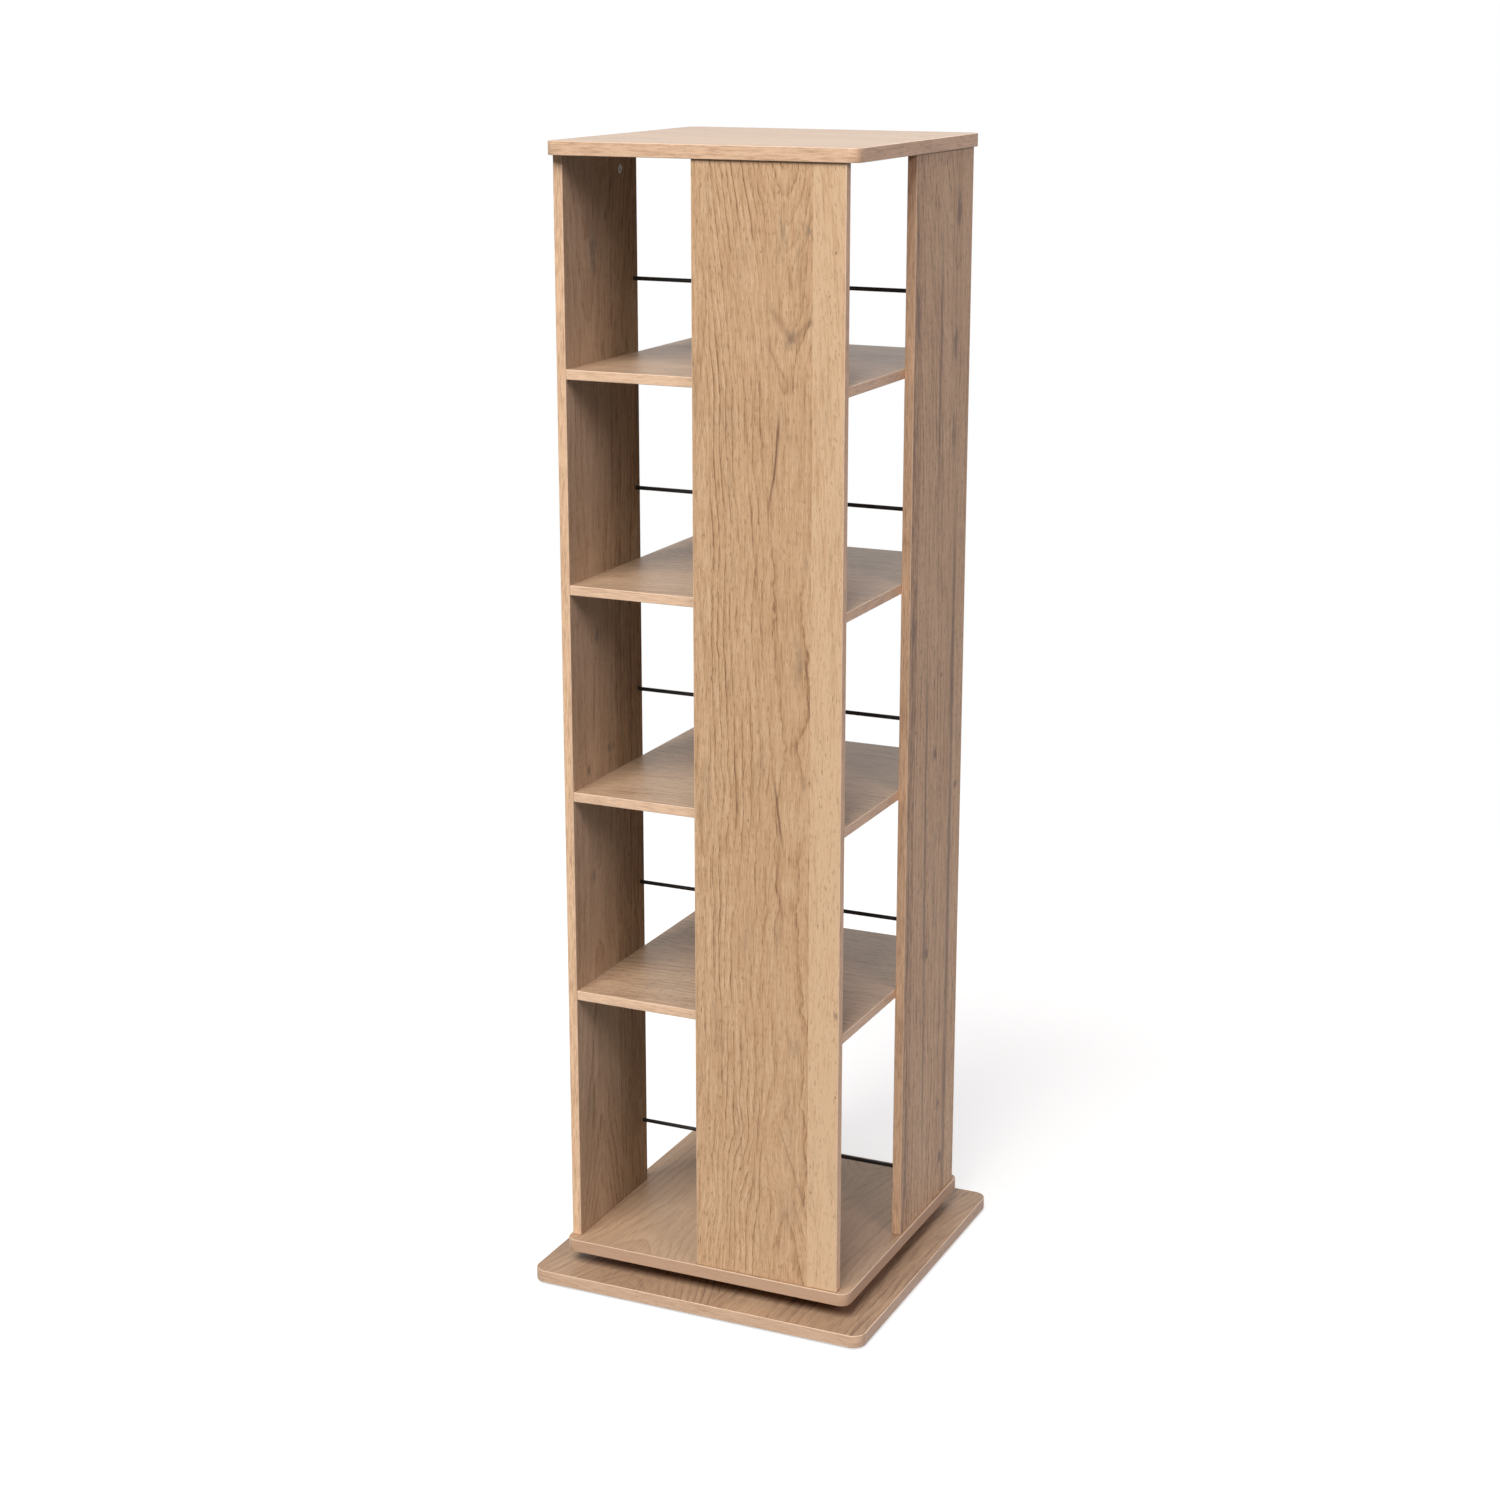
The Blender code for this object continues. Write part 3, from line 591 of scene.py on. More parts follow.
    def _follow_rings(self) -> None:
        """Measure the point's depth in its log, its path across the fibres and its steepness."""
        sketch, spot, plank, power = self.sketch, self.spot, self.plank, self.RING_POWER
        off = sketch.total(sketch.math("SUBTRACT", spot.across, plank["pith"]),
                           sketch.centred(self.DRIFT.read(sketch, spot), self.DRIFT_WIDTH),
                           self.bend)
        up = sketch.math("DIVIDE", sketch.math("SUBTRACT", spot.along, plank["middle"]),
                         self.figure.span)
        square = sketch.scaled(up, up)
        arch = sketch.scaled(sketch.math("SUBTRACT", 1.0, sketch.scaled(square, square)),
                             plank["rise"])
        wave = sketch.centred(self.WAVE.read(sketch, spot), self.WAVE_WIDTH)
        depth = sketch.math("ABSOLUTE", sketch.total(plank["reach"], arch, wave))
        aside = sketch.math("ABSOLUTE", off)
        powers = sketch.math("ADD", sketch.math("POWER", aside, power),
                             sketch.math("POWER", depth, power))
        flow = sketch.math("POWER", powers, 1 / power)
        self.steep = sketch.math("DIVIDE", aside, flow)
        wobble = self.WOBBLE.read(sketch, spot)
        ripple = self.RIPPLE.read(sketch, spot)
        self.flow = sketch.total(flow, sketch.centred(wobble, self.WOBBLE_WIDTH),
                                 sketch.centred(ripple, self.RIPPLE_WIDTH))
        parted = sketch.math("DIVIDE", off, sketch.math("SQRT", sketch.math(
            "MULTIPLY_ADD", off, off, self.PARTING ** 2)))
        path = sketch.total(spot.across, self.bend, sketch.scaled(parted, arch),
                            sketch.centred(wobble, self.PATH_WOBBLE_WIDTH))
        self.path = replace(spot, across=path)

    def _draw_rings(self) -> None:
        """Draw the late wood and the thin pore line of each growth ring."""
        sketch = self.sketch
        count = sketch.math("DIVIDE", self.flow, self.plank["ring"])
        turn = sketch.math("FRACT", count)
        chance = sketch.add("TexWhiteNoise", noise_dimensions="2D")
        sketch.feed(chance.inputs["Vector"],
                    sketch.vector(sketch.math("FLOOR", count), self.spot.seed, 0.0))
        strength = sketch.math("MULTIPLY_ADD", chance.outputs["Value"], self.RING_CHANCE,
                               self.LEAST_RING)
        patch = sketch.band(self.PATCH.read(sketch, self.spot), *self.PATCH_BAND)
        strength = sketch.scaled(sketch.scaled(strength, patch), self.plank["lines"])
        strength = sketch.scaled(strength, sketch.rest(sketch.band(turn, *self.RING_END)))
        self.late = sketch.scaled(sketch.band(turn, *self.LATE_BAND), strength)
        steep = sketch.math("MULTIPLY_ADD", self.steep, self.STEEP_LINE, self.LEAST_LINE)
        self.line = sketch.scaled(sketch.scaled(sketch.band(turn, *self.LINE_BAND), steep),
                                  strength)

    def _draw_fibres(self) -> None:
        """Draw the fibres along their paths: the fine ones, and all of them together."""
        noises = [grain.read(self.sketch, self.path) for grain, _ in self.FIBRES]
        self.fine = noises[0]
        self.fibres = self.sketch.total(*(self.sketch.centred(noise, width)
                                          for noise, (_, width) in zip(noises, self.FIBRES)))

    def _draw_pores(self) -> None:
        """Draw the short dark pores, thickest along the ring lines."""
        sketch = self.sketch
        dashes = sketch.total(self.DASHES.read(sketch, self.path),
                              sketch.scaled(self.line, self.LINE_DASHES),
                              sketch.scaled(self.plank["speckle"], self.SPECKLE_DASHES))
        self.pores = sketch.scaled(sketch.band(dashes, *self.DASH_BAND), self.DASH_DEPTH)

    def _scatter_pins(self) -> None:
        """Scatter a few small pin knots."""
        sketch = self.sketch
        cells = sketch.add("TexVoronoi", voronoi_dimensions="2D")
        start = self.figure.seed * self.PIN_SEED
        across, along = (sketch.math("MULTIPLY_ADD", value, count, start) for value, count
                         in zip((self.spot.across, self.spot.along), self.PIN_CELLS))
        sketch.feed_all(cells, {"Vector": sketch.vector(across, along, 0.0), "Scale": 1.0})
        near = sketch.rest(sketch.band(cells.outputs["Distance"], *self.PIN_BAND))
        chosen = sketch.band(cells.outputs["Color"], *self.PIN_CHANCE)
        self.pins = sketch.scaled(sketch.scaled(near, chosen), self.PIN_DEPTH)


@dataclass(frozen=True)
class OakPrint:
    """The oak-printed face of a board, with its grain along one axis.

    A board with an inner side has another stretch of the print there, and painted shade there: a
    darker, cooler tint for the shade inside the tower. Amounts are of the print's value, which
    runs from 0 at the pores to 1 at the palest wood.
    """

    name: str
    along: Axis
    across: Axis
    figure: Figure = Figure()
    tones: OakTones = OakTones()
    lift: float = 0.0
    contrast: float = 1.0
    coat: float = 0.20
    inner_beyond: Optional[float] = None
    inward: int = 1
    # Painted shade: a darker, cooler tint multiplied into the inner side's colour.
    inner_shade_tint: Tone = (0.82, 0.92, 1.04)
    inner_seed: float = 11.7
    thickness_axis: Axis = Axis.Z
    stops: tuple[float, ...] = (0.0, 0.25, 0.52, 0.78, 1.0)
    middle_value: float = 0.64
    broad_amount: float = 0.60
    late_amount: float = 0.26
    line_amount: float = 0.20
    cloud_band: Range = (0.56, 0.80)
    cloud_depth: float = 0.40
    stain_depth: float = 0.75
    streak_colour: Tone = (0.140, 0.058, 0.030)
    roughness: float = 0.50
    fibre_roughness: float = 0.16
    pore_roughness: float = 0.15
    line_relief: float = 0.4
    fibre_relief: float = 0.5
    relief: float = 0.00006
    relief_strength: float = 0.6
    specular: float = 0.35
    coat_roughness: float = 0.38

    def build(self) -> bpy.types.Material:
        """Build the material.

        Returns:
            The finished material.
        """
        material, sketch, shader = new_material(self.name)
        axes = sketch.place()
        inside: object = 0.0
        seed: object = self.figure.seed
        if self.inner_beyond is not None:
            beyond = "GREATER_THAN" if self.inward > 0 else "LESS_THAN"
            inside = sketch.math(beyond, axes[self.thickness_axis.value], self.inner_beyond)
            seed = sketch.math("MULTIPLY_ADD", inside, self.inner_seed, seed)
        layers = OakLayers(sketch, self.figure,
                           Spot(axes[self.across.value], axes[self.along.value], seed))
        colour = self._colour(sketch, layers)
        # Painted shade: the inner side is darkened and cooled by its tint, for the shade inside
        # the tower.
        if self.inner_beyond is not None:
            colour = sketch.mix(inside, colour, (*self.inner_shade_tint, 1.0), "MULTIPLY")
        sketch.feed(shader.inputs["Base Color"], colour)
        self._surface(sketch, layers, shader)
        return material

    def _colour(self, sketch: Sketch, layers: OakLayers) -> Socket:
        """Colour the print.

        Args:
            sketch: The sketch of the material's tree.
            layers: The print's layers.

        Returns:
            The colour.
        """
        value = sketch.total(self.middle_value + self.lift, layers.plank["tone"],
                             sketch.centred(layers.broad, self.broad_amount),
                             sketch.scaled(layers.fibres, self.contrast),
                             sketch.scaled(layers.late, -self.late_amount),
                             sketch.scaled(layers.line, -self.line_amount),
                             sketch.scaled(layers.seam, -self.figure.seam))
        tones = self.tones
        shades = (tones.pore, tones.dark, tones.mid, tones.pale, tones.bright)
        colour = sketch.ramp(value, tuple(zip(self.stops, shades)))
        veil = sketch.scaled(sketch.band(layers.cloud, *self.cloud_band), self.cloud_depth)
        veil = sketch.math("ADD", veil, sketch.scaled(layers.stain, self.stain_depth),
                           clamp=True)
        marks = sketch.math("MAXIMUM", sketch.scaled(layers.pores, self.contrast), layers.pins)
        for amount, tone in ((veil, tones.veil), (marks, tones.pore),
                             (layers.dark, self.streak_colour)):
            colour = sketch.mix(amount, colour, (*tone, 1.0))
        return colour

    def _surface(self, sketch: Sketch, layers: OakLayers, shader: bpy.types.Node) -> None:
        """Give the print its sheen and its fine relief.

        Args:
            sketch: The sketch of the material's tree.
            layers: The print's layers.
            shader: The material's Principled node.
        """
        rough = sketch.total(self.roughness, sketch.centred(layers.fine, self.fibre_roughness),
                             sketch.scaled(layers.pores, self.pore_roughness))
        height = sketch.total(sketch.scaled(layers.pores, -1.0),
                              sketch.scaled(layers.line, -self.line_relief),
                              sketch.centred(layers.fine, self.fibre_relief))
        sketch.feed_all(shader, {"Roughness": rough, "Specular IOR Level": self.specular,
                                 "Normal": sketch.bump(height, self.relief,
                                                       self.relief_strength),
                                 "Coat Weight": self.coat,
                                 "Coat Roughness": self.coat_roughness})


@dataclass(frozen=True)
class EdgeBand:
    """The oak edge banding, whose short grain runs along the edge.

    The trim and highlight colour is that of its rounded edges: partly the print shaved away there,
    partly a painted highlight along them.
    """

    name: str
    upright: bool
    colour: Tone = (0.900, 0.620, 0.400)
    dark: Tone = (0.500, 0.310, 0.185)
    trim: Tone = (0.820, 0.640, 0.480)
    thickness_axis: Axis = Axis.Z
    grains: tuple[Grain, ...] = (Grain(60.0, 7.0, 2.0, 0.6), Grain(330.0, 26.0, 2.0, 0.6),
                                 Grain(760.0, 60.0, 2.0, 0.6), Grain(1100.0, 150.0, 2.0, 0.6))
    middle_value: float = 0.64
    grain_amounts: tuple[float, ...] = (0.6, 1.0, 1.25)
    value_band: Range = (0.1, 0.9)
    pore_band: Range = (0.60, 0.72)
    mark_depth: float = 0.65
    edge_start: Range = (0.15, 0.45)
    edge_end: Range = (0.9, 1.0)
    roughness: float = 0.46
    fine_roughness: float = 0.2
    relief: float = 0.00005
    relief_strength: float = 0.5
    specular: float = 0.4

    def build(self) -> bpy.types.Material:
        """Build the material.

        Returns:
            The finished material.
        """
        material, sketch, shader = new_material(self.name)
        x, y, z = sketch.place()
        plan = sketch.math("ADD", x, y)
        along, across = (z, plan) if self.upright else (plan, z)
        *noises, dashes = (grain.read(sketch, Spot(across, along, float(seed)))
                           for seed, grain in enumerate(self.grains))
        fine = noises[-1]
        value = sketch.total(self.middle_value, *(sketch.centred(noise, amount) for noise, amount
                                                  in zip(noises, self.grain_amounts)))
        colour = sketch.mix(sketch.band(value, *self.value_band), (*self.dark, 1.0),
                            (*self.colour, 1.0))
        pores = sketch.band(dashes, *self.pore_band)
        # The rounded edges take a paler colour: partly the shaved band, partly a painted
        # highlight.
        for amount, tone in ((pores, self.dark), (self._eased(sketch), self.trim)):
            colour = sketch.mix(sketch.scaled(amount, self.mark_depth), colour, (*tone, 1.0))
        rough = sketch.total(self.roughness, sketch.centred(fine, self.fine_roughness))
        sketch.feed_all(shader, {"Base Color": colour, "Roughness": rough,
                                 "Normal": sketch.bump(fine, self.relief, self.relief_strength),
                                 "Specular IOR Level": self.specular})
        return material

    def _eased(self, sketch: Sketch) -> Socket:
        """Find the rounded edges by the way that the surface faces.

        Args:
            sketch: The sketch of the material's tree.

        Returns:
            1 on a rounded edge and 0 elsewhere.
        """
        split = sketch.add("SeparateXYZ")
        sketch.feed(split.inputs[0], sketch.add("NewGeometry").outputs["Normal"])
        tilt = sketch.math("ABSOLUTE", split.outputs[self.thickness_axis.value])
        return sketch.scaled(sketch.band(tilt, *self.edge_start),
                             sketch.rest(sketch.band(tilt, *self.edge_end)))


@dataclass(frozen=True)
class RawBoard:
    """Bare particle board, seen only inside a bore."""

    name: str
    chip: Tone = (0.56, 0.40, 0.25)
    gap: Tone = (0.34, 0.22, 0.12)
    chips: float = 900.0
    relief: float = 0.0003
    roughness: float = 0.9

    def build(self) -> bpy.types.Material:
        """Build the material.

        Returns:
            The finished material.
        """
        material, sketch, shader = new_material(self.name)
        coordinates = sketch.add("TexCoord").outputs["Object"]
        chips = sketch.add("TexVoronoi")
        sketch.feed_all(chips, {"Vector": coordinates, "Scale": self.chips})
        colour = sketch.mix(chips.outputs["Color"], (*self.gap, 1.0), (*self.chip, 1.0))
        sketch.feed_all(shader, {"Base Color": colour, "Roughness": self.roughness,
                                 "Normal": sketch.bump(chips.outputs["Distance"], self.relief)})
        return material


@dataclass(frozen=True)
class Metal:
    """A plated metal, with a little tarnish and fine handling marks.

    The cloud of tarnish is given by its scale, detail and roughness.
    """

    name: str
    colour: Tone
    tarnish: Tone
    roughness: float
    cloud: tuple[float, float, float] = (45.0, 4.0, 0.6)
    cloud_band: Range = (0.42, 0.78)
    cloud_roughness: float = 0.16
    mark_scale: float = 1400.0
    mark_roughness: float = 0.08
    mark_depth: float = 0.00002
    mark_strength: float = 0.4

    def build(self) -> bpy.types.Material:
        """Build the material.

        Returns:
            The finished material.
        """
        material, sketch, shader = new_material(self.name)
        coordinates = sketch.add("TexCoord").outputs["Object"]
        cloud = sketch.noise(coordinates, *self.cloud)
        marks = sketch.noise(coordinates, self.mark_scale)
        colour = sketch.mix(sketch.band(cloud, *self.cloud_band), (*self.colour, 1.0),
                            (*self.tarnish, 1.0))
        rough = sketch.total(self.roughness, sketch.centred(cloud, self.cloud_roughness),
                             sketch.centred(marks, self.mark_roughness))
        normal = sketch.bump(marks, self.mark_depth, self.mark_strength)
        sketch.feed_all(shader, {"Base Color": colour, "Roughness": rough, "Normal": normal,
                                 "Metallic": 1.0})
        return material


@dataclass(frozen=True)
class Coating:
    """A dark coat or moulded plastic, with a fine skin and soft wear.

    The wear is given by its scale, detail and roughness.
    """

    name: str
    colour: Tone
    worn: Tone
    roughness: float
    skin_scale: float
    skin_depth: float
    skin_strength: float = 0.5
    wear: tuple[float, float, float] = (60.0, 4.0, 0.65)
    wear_band: Range = (0.5, 0.8)
    wear_amount: float = 0.6
    wear_roughness: float = 0.15

    def build(self) -> bpy.types.Material:
        """Build the material.

        Returns:
            The finished material.
        """
        material, sketch, shader = new_material(self.name)
        coordinates = sketch.add("TexCoord").outputs["Object"]
        skin = sketch.noise(coordinates, self.skin_scale)
        worn = sketch.noise(coordinates, *self.wear)
        amount = sketch.scaled(sketch.band(worn, *self.wear_band), self.wear_amount)
        colour = sketch.mix(amount, (*self.colour, 1.0), (*self.worn, 1.0))
        rough = sketch.total(self.roughness, sketch.centred(worn, self.wear_roughness))
        normal = sketch.bump(skin, self.skin_depth, self.skin_strength)
        sketch.feed_all(shader, {"Base Color": colour, "Roughness": rough, "Normal": normal})
        return material


ROD_ENAMEL = Coating("rod_enamel", (0.012, 0.012, 0.013), (0.032, 0.032, 0.034), 0.36, 1500.0,
                     0.00003)
GLIDE_PLASTIC = Coating("glide_plastic", (0.022, 0.022, 0.023), (0.06, 0.06, 0.06), 0.5, 900.0,
                        0.00004)
ZINC_PLATE = Metal("zinc_plate", (0.60, 0.62, 0.64), (0.42, 0.43, 0.43), 0.34)
BALL_STEEL = Metal("ball_steel", (0.70, 0.71, 0.72), (0.55, 0.55, 0.54), 0.16)
SCREW_STEEL = Metal("screw_steel", (0.62, 0.61, 0.58), (0.45, 0.43, 0.38), 0.3)
NICKEL_CAM = Metal("nickel_cam", (0.68, 0.66, 0.61), (0.48, 0.46, 0.42), 0.34)


# Meshes


def shade(mesh: bpy.types.Mesh) -> None:
    """Shade a mesh smooth across shallow angles, and flat on its level and upright faces.

    Args:
        mesh: The mesh.
    """
    mesh.shade_smooth()
    mesh.set_sharp_from_angle(angle=SMOOTH_ANGLE)
    for face in mesh.polygons:
        if max(abs(part) for part in face.normal) > FLAT_FACING:
            face.use_smooth = False


def finish_mesh(bm: bmesh.types.BMesh, name: str) -> Item:
    """Make an object of a bmesh.

    Args:
        bm: The bmesh, which is freed.
        name: The object's name.

    Returns:
        The object, linked to the scene.
    """
    bmesh.ops.recalc_face_normals(bm, faces=bm.faces)
    mesh = bpy.data.meshes.new(name)
    bm.to_mesh(mesh)
    bm.free()
    shade(mesh)
    item = bpy.data.objects.new(name, mesh)
    bpy.context.scene.collection.objects.link(item)
    return item


def revolve(profile: Points, steps: int) -> bmesh.types.BMesh:
    """Turn a profile of radius and height about Z.

    Args:
        profile: Points from the axis out and back to it, or a closed ring of points.
        steps: The number of steps round the axis.

    Returns:
        The closed solid.
    """
    bm = bmesh.new()
    verts = [bm.verts.new((radius, 0.0, height)) for radius, height in profile]
    edges = [bm.edges.new(pair) for pair in zip(verts, verts[1:])]
    if profile[0][0] > MERGE:
        edges.append(bm.edges.new((verts[-1], verts[0])))
    bmesh.ops.spin(bm, geom=[*verts, *edges], cent=(0, 0, 0), axis=(0, 0, 1),
                   angle=2 * math.pi, steps=steps, use_merge=True)
    bmesh.ops.remove_doubles(bm, verts=bm.verts, dist=MERGE)
    return bm


def along_line(bm: bmesh.types.BMesh, start: Vector, end: Vector, radius: float,
               end_radius: Optional[float] = None, steps: int = 32) -> None:
    """Add a closed cylinder or cone between two points.

    Args:
        bm: The bmesh to add to.
        start: One end.
        end: The other end.
        radius: Its radius at the start.
        end_radius: Its radius at the end, if that differs.
        steps: Its number of sides.
    """
    run = end - start
    turn = Vector((0, 0, 1)).rotation_difference(run).to_matrix().to_4x4()
    bmesh.ops.create_cone(bm, cap_ends=True, segments=steps, radius1=radius,
                          radius2=radius if end_radius is None else end_radius,
                          depth=run.length, matrix=Matrix.Translation((start + end) / 2) @ turn)


def combine(item: Item, tool: Item, joining: Joining) -> None:
    """Cut or join an object with another, which is used up.

    Args:
        item: The object that is changed.
        tool: The other object.
        joining: Whether it is cut or joined.
    """
    step = item.modifiers.new("combine", "BOOLEAN")
    step.operation = joining.value
    step.object = tool
    step.solver = "EXACT"
    step.material_mode = "TRANSFER"
    bpy.context.view_layer.update()
    graph = bpy.context.evaluated_depsgraph_get()
    mesh = bpy.data.meshes.new_from_object(item.evaluated_get(graph))
    item.modifiers.clear()
    item.data = mesh
    shade(mesh)
    bpy.data.objects.remove(tool)


def cut_cross(item: Item, mouth: Matrix, arm: float, width: float, depth: float) -> None:
    """Cut a cross-shaped recess, whose arms narrow towards its floor.

    Args:
        item: The fitting that is cut.
        mouth: The recess's frame: its middle at the face, with Z out of the face.
        arm: The reach of an arm from the middle.
        width: The width of an arm.
        depth: The recess's depth.
    """
    for turn in (0.0, math.pi / 2):
        cut = bmesh.new()
        bmesh.ops.create_cube(cut, size=2.0)
        for vert in cut.verts:
            share = RECESS_TAPER[vert.co.z > 0]
            vert.co = Vector((vert.co.x * arm * share, vert.co.y * width / 2 * share,
                              vert.co.z * depth))
        bmesh.ops.transform(cut, verts=cut.verts,
                            matrix=mouth @ Matrix.Rotation(turn, 4, "Z"))
        combine(item, finish_mesh(cut, "recess"), Joining.CUT)


def wear(item: Item, *finishes: bpy.types.Material) -> None:
    """Give a piece its finishes in place of those left by cutting it.

    Args:
        item: The piece.
        *finishes: Its finishes, of which its faces wear the first.
    """
    item.data.materials.clear()
    for finish in finishes:
        item.data.materials.append(finish)


def seat(item: Item, node: str, body: str) -> None:
    """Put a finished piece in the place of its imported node.

    Args:
        item: The piece.
        node: The node that it replaces.
        body: The body that it rides on.
    """
    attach(item, body)
    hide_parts(node)
    LOG.info("built %s", item.name)


@dataclass(frozen=True)
class Bore:
    """A round hole from its mouth to its floor."""

    start: Vector
    end: Vector
    radius: float
    end_radius: Optional[float] = None


@dataclass
class Board:
    """One board with banded edges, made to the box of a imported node."""

    node: str
    body: str
    slot: str
    face: OakPrint
    band: EdgeBand
    thickness_axis: Axis = Axis.Z
    corner_radius: float = 0.0
    corner_steps: int = 12
    arris: float = 0.0007
    arris_steps: int = 3
    face_facing: float = 0.999
    item: Optional[Item] = None

    def build(self, bores: list[list[Bore]]) -> None:
        """Build the board's mesh.

        Args:
            bores: Groups of bores; those of one group don't meet each other.
        """
        low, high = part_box(self.node)
        axis = self.thickness_axis.value
        plan = [i for i in range(3) if i != axis]
        half = [(high[i] - low[i]) / 2 for i in plan]
        bm = bmesh.new()
        outline = [bm.verts.new((x, y, -(high[axis] - low[axis]) / 2))
                   for x, y in self._outline(*half)]
        base = bm.faces.new(outline)
        lifted = bmesh.ops.extrude_face_region(bm, geom=[base])
        top = [v for v in lifted["geom"] if isinstance(v, bmesh.types.BMVert)]
        bmesh.ops.translate(bm, vec=(0, 0, high[axis] - low[axis]), verts=top)
        rims = [e for e in bm.edges if self.corner_radius == 0.0
                or abs(e.verts[0].co.z - e.verts[1].co.z) < MERGE]
        bmesh.ops.bevel(bm, geom=rims, offset=self.arris, segments=self.arris_steps,
                        profile=0.5, affect="EDGES")
        self._stand(bm, plan, axis, (low + high) / 2)
        self.item = finish_mesh(bm, f"{self.node}_board")
        self._paint()
        for group in bores:
            self._drill(group)
        seat(self.item, self.node, self.body)

    def _outline(self, half_x: float, half_y: float) -> Points:
        """List the board's outline.

        Args:
            half_x: Half its first side.
            half_y: Half its second side.

        Returns:
            The outline's points, anticlockwise.
        """
        if self.corner_radius == 0.0:
            return [(-half_x, -half_y), (half_x, -half_y), (half_x, half_y), (-half_x, half_y)]
        points = []
        for quarter, (x, y) in enumerate(((1, -1), (1, 1), (-1, 1), (-1, -1))):
            for step in range(self.corner_steps + 1):
                angle = math.pi / 2 * (quarter - 1 + step / self.corner_steps)
                points.append((x * (half_x - self.corner_radius)
                               + self.corner_radius * math.cos(angle),
                               y * (half_y - self.corner_radius)
                               + self.corner_radius * math.sin(angle)))
        return points

    def _stand(self, bm: bmesh.types.BMesh, plan: list[int], axis: int, centre: Vector) -> None:
        """Move the board from its flat frame to its place.

        Args:
            bm: The board, lying round the origin.
            plan: The two axes of its plan.
            axis: The axis of its thickness.
            centre: Where its middle goes.
        """
        columns = [Vector((0, 0, 0)) for _ in range(3)]
        for at, world in enumerate((*plan, axis)):
            columns[at][world] = 1.0
        turn = Matrix(columns).transposed().to_4x4()
        bmesh.ops.transform(bm, matrix=Matrix.Translation(centre) @ turn, verts=bm.verts)

    def _paint(self) -> None:
        """Give the faces the print, and the edges the banding."""
        for finish in (self.face, self.band, RawBoard(f"raw_board_{self.node}")):
            self.item.data.materials.append(finish.build())
        axis = self.thickness_axis.value
        for polygon in self.item.data.polygons:
            level = abs(polygon.normal[axis]) > self.face_facing
            polygon.material_index = (BoardFinish.FACE if level else BoardFinish.EDGE).value

    def _drill(self, bores: list[Bore]) -> None:
        """Cut a group of bores.

        Args:
            bores: The bores, which don't meet each other.
        """
        if not bores:
            return
        bm = bmesh.new()
        for bore in bores:
            along_line(bm, bore.start, bore.end, bore.radius, bore.end_radius)
        tool = finish_mesh(bm, "bores")
        tool.data.materials.append(self.item.data.materials[BoardFinish.BORE.value])
        combine(self.item, tool, Joining.CUT)


# The fittings


@dataclass
class CamFitting:
    """A cam let into one board and the bolt that it draws in from its neighbour."""

    node: str
    face: Vector
    bolt: Vector
    play: float = 0.0003
    chamfer: float = 0.0005
    recess: float = 0.0012
    arm: float = 0.0042
    arm_width: float = 0.0011
    arm_turn: float = math.radians(20.0)
    bolt_share: float = 5 / 12
    overrun: float = 0.002
    steps: int = 48
    bolt_steps: int = 24

    def __post_init__(self) -> None:
        """Read the fitting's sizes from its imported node."""
        low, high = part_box(self.node)
        size = high - low
        across = self.face.cross(self.bolt)
        self.radius = abs(size.dot(across)) / 2
        self.length = abs(size.dot(self.face))
        centre = (low + high) / 2
        reach = abs(size.dot(self.bolt)) / 2
        self.mouth = (centre + self.face * (self.length / 2)
                      - self.bolt * (reach - self.radius))
        self.bolt_start = self.mouth - self.face * (self.length / 2)
        self.bolt_end = centre + self.bolt * reach
        self.bolt_radius = self.radius * self.bolt_share

    def bores(self) -> tuple[Bore, Bore]:
        """Place the fitting's bores.

        Returns:
            The cam's bore and its bolt's.
        """
        cam = Bore(self.mouth + self.face * self.overrun,
                   self.mouth - self.face * (self.length + self.play), self.radius + self.play)
        bolt = Bore(self.bolt_start, self.bolt_end + self.bolt * self.play,
                    self.bolt_radius + self.play)
        return cam, bolt

    def build(self, finish: bpy.types.Material) -> None:
        """Build the cam and its bolt.

        Args:
            finish: The plated metal that all the cams share.
        """
        edge = self.radius - self.chamfer
        bm = revolve([(0.0, 0.0), (edge, 0.0), (self.radius, -self.chamfer),
                      (self.radius, -self.length), (0.0, -self.length)], self.steps)
        side = self.bolt.cross(self.face)
        stand = Matrix((side, self.bolt, self.face)).transposed().to_4x4()
        bmesh.ops.transform(bm, matrix=Matrix.Translation(self.mouth) @ stand, verts=bm.verts)
        item = finish_mesh(bm, f"{self.node}_fitting")
        stem = bmesh.new()
        along_line(stem, self.bolt_start, self.bolt_end, self.bolt_radius,
                   steps=self.bolt_steps)
        combine(item, finish_mesh(stem, "stem"), Joining.WELD)
        recess = Matrix.Translation(self.mouth) @ stand @ Matrix.Rotation(self.arm_turn, 4, "Z")
        cut_cross(item, recess, self.arm, self.arm_width, self.recess)
        wear(item, finish)
        seat(item, self.node, "tower")


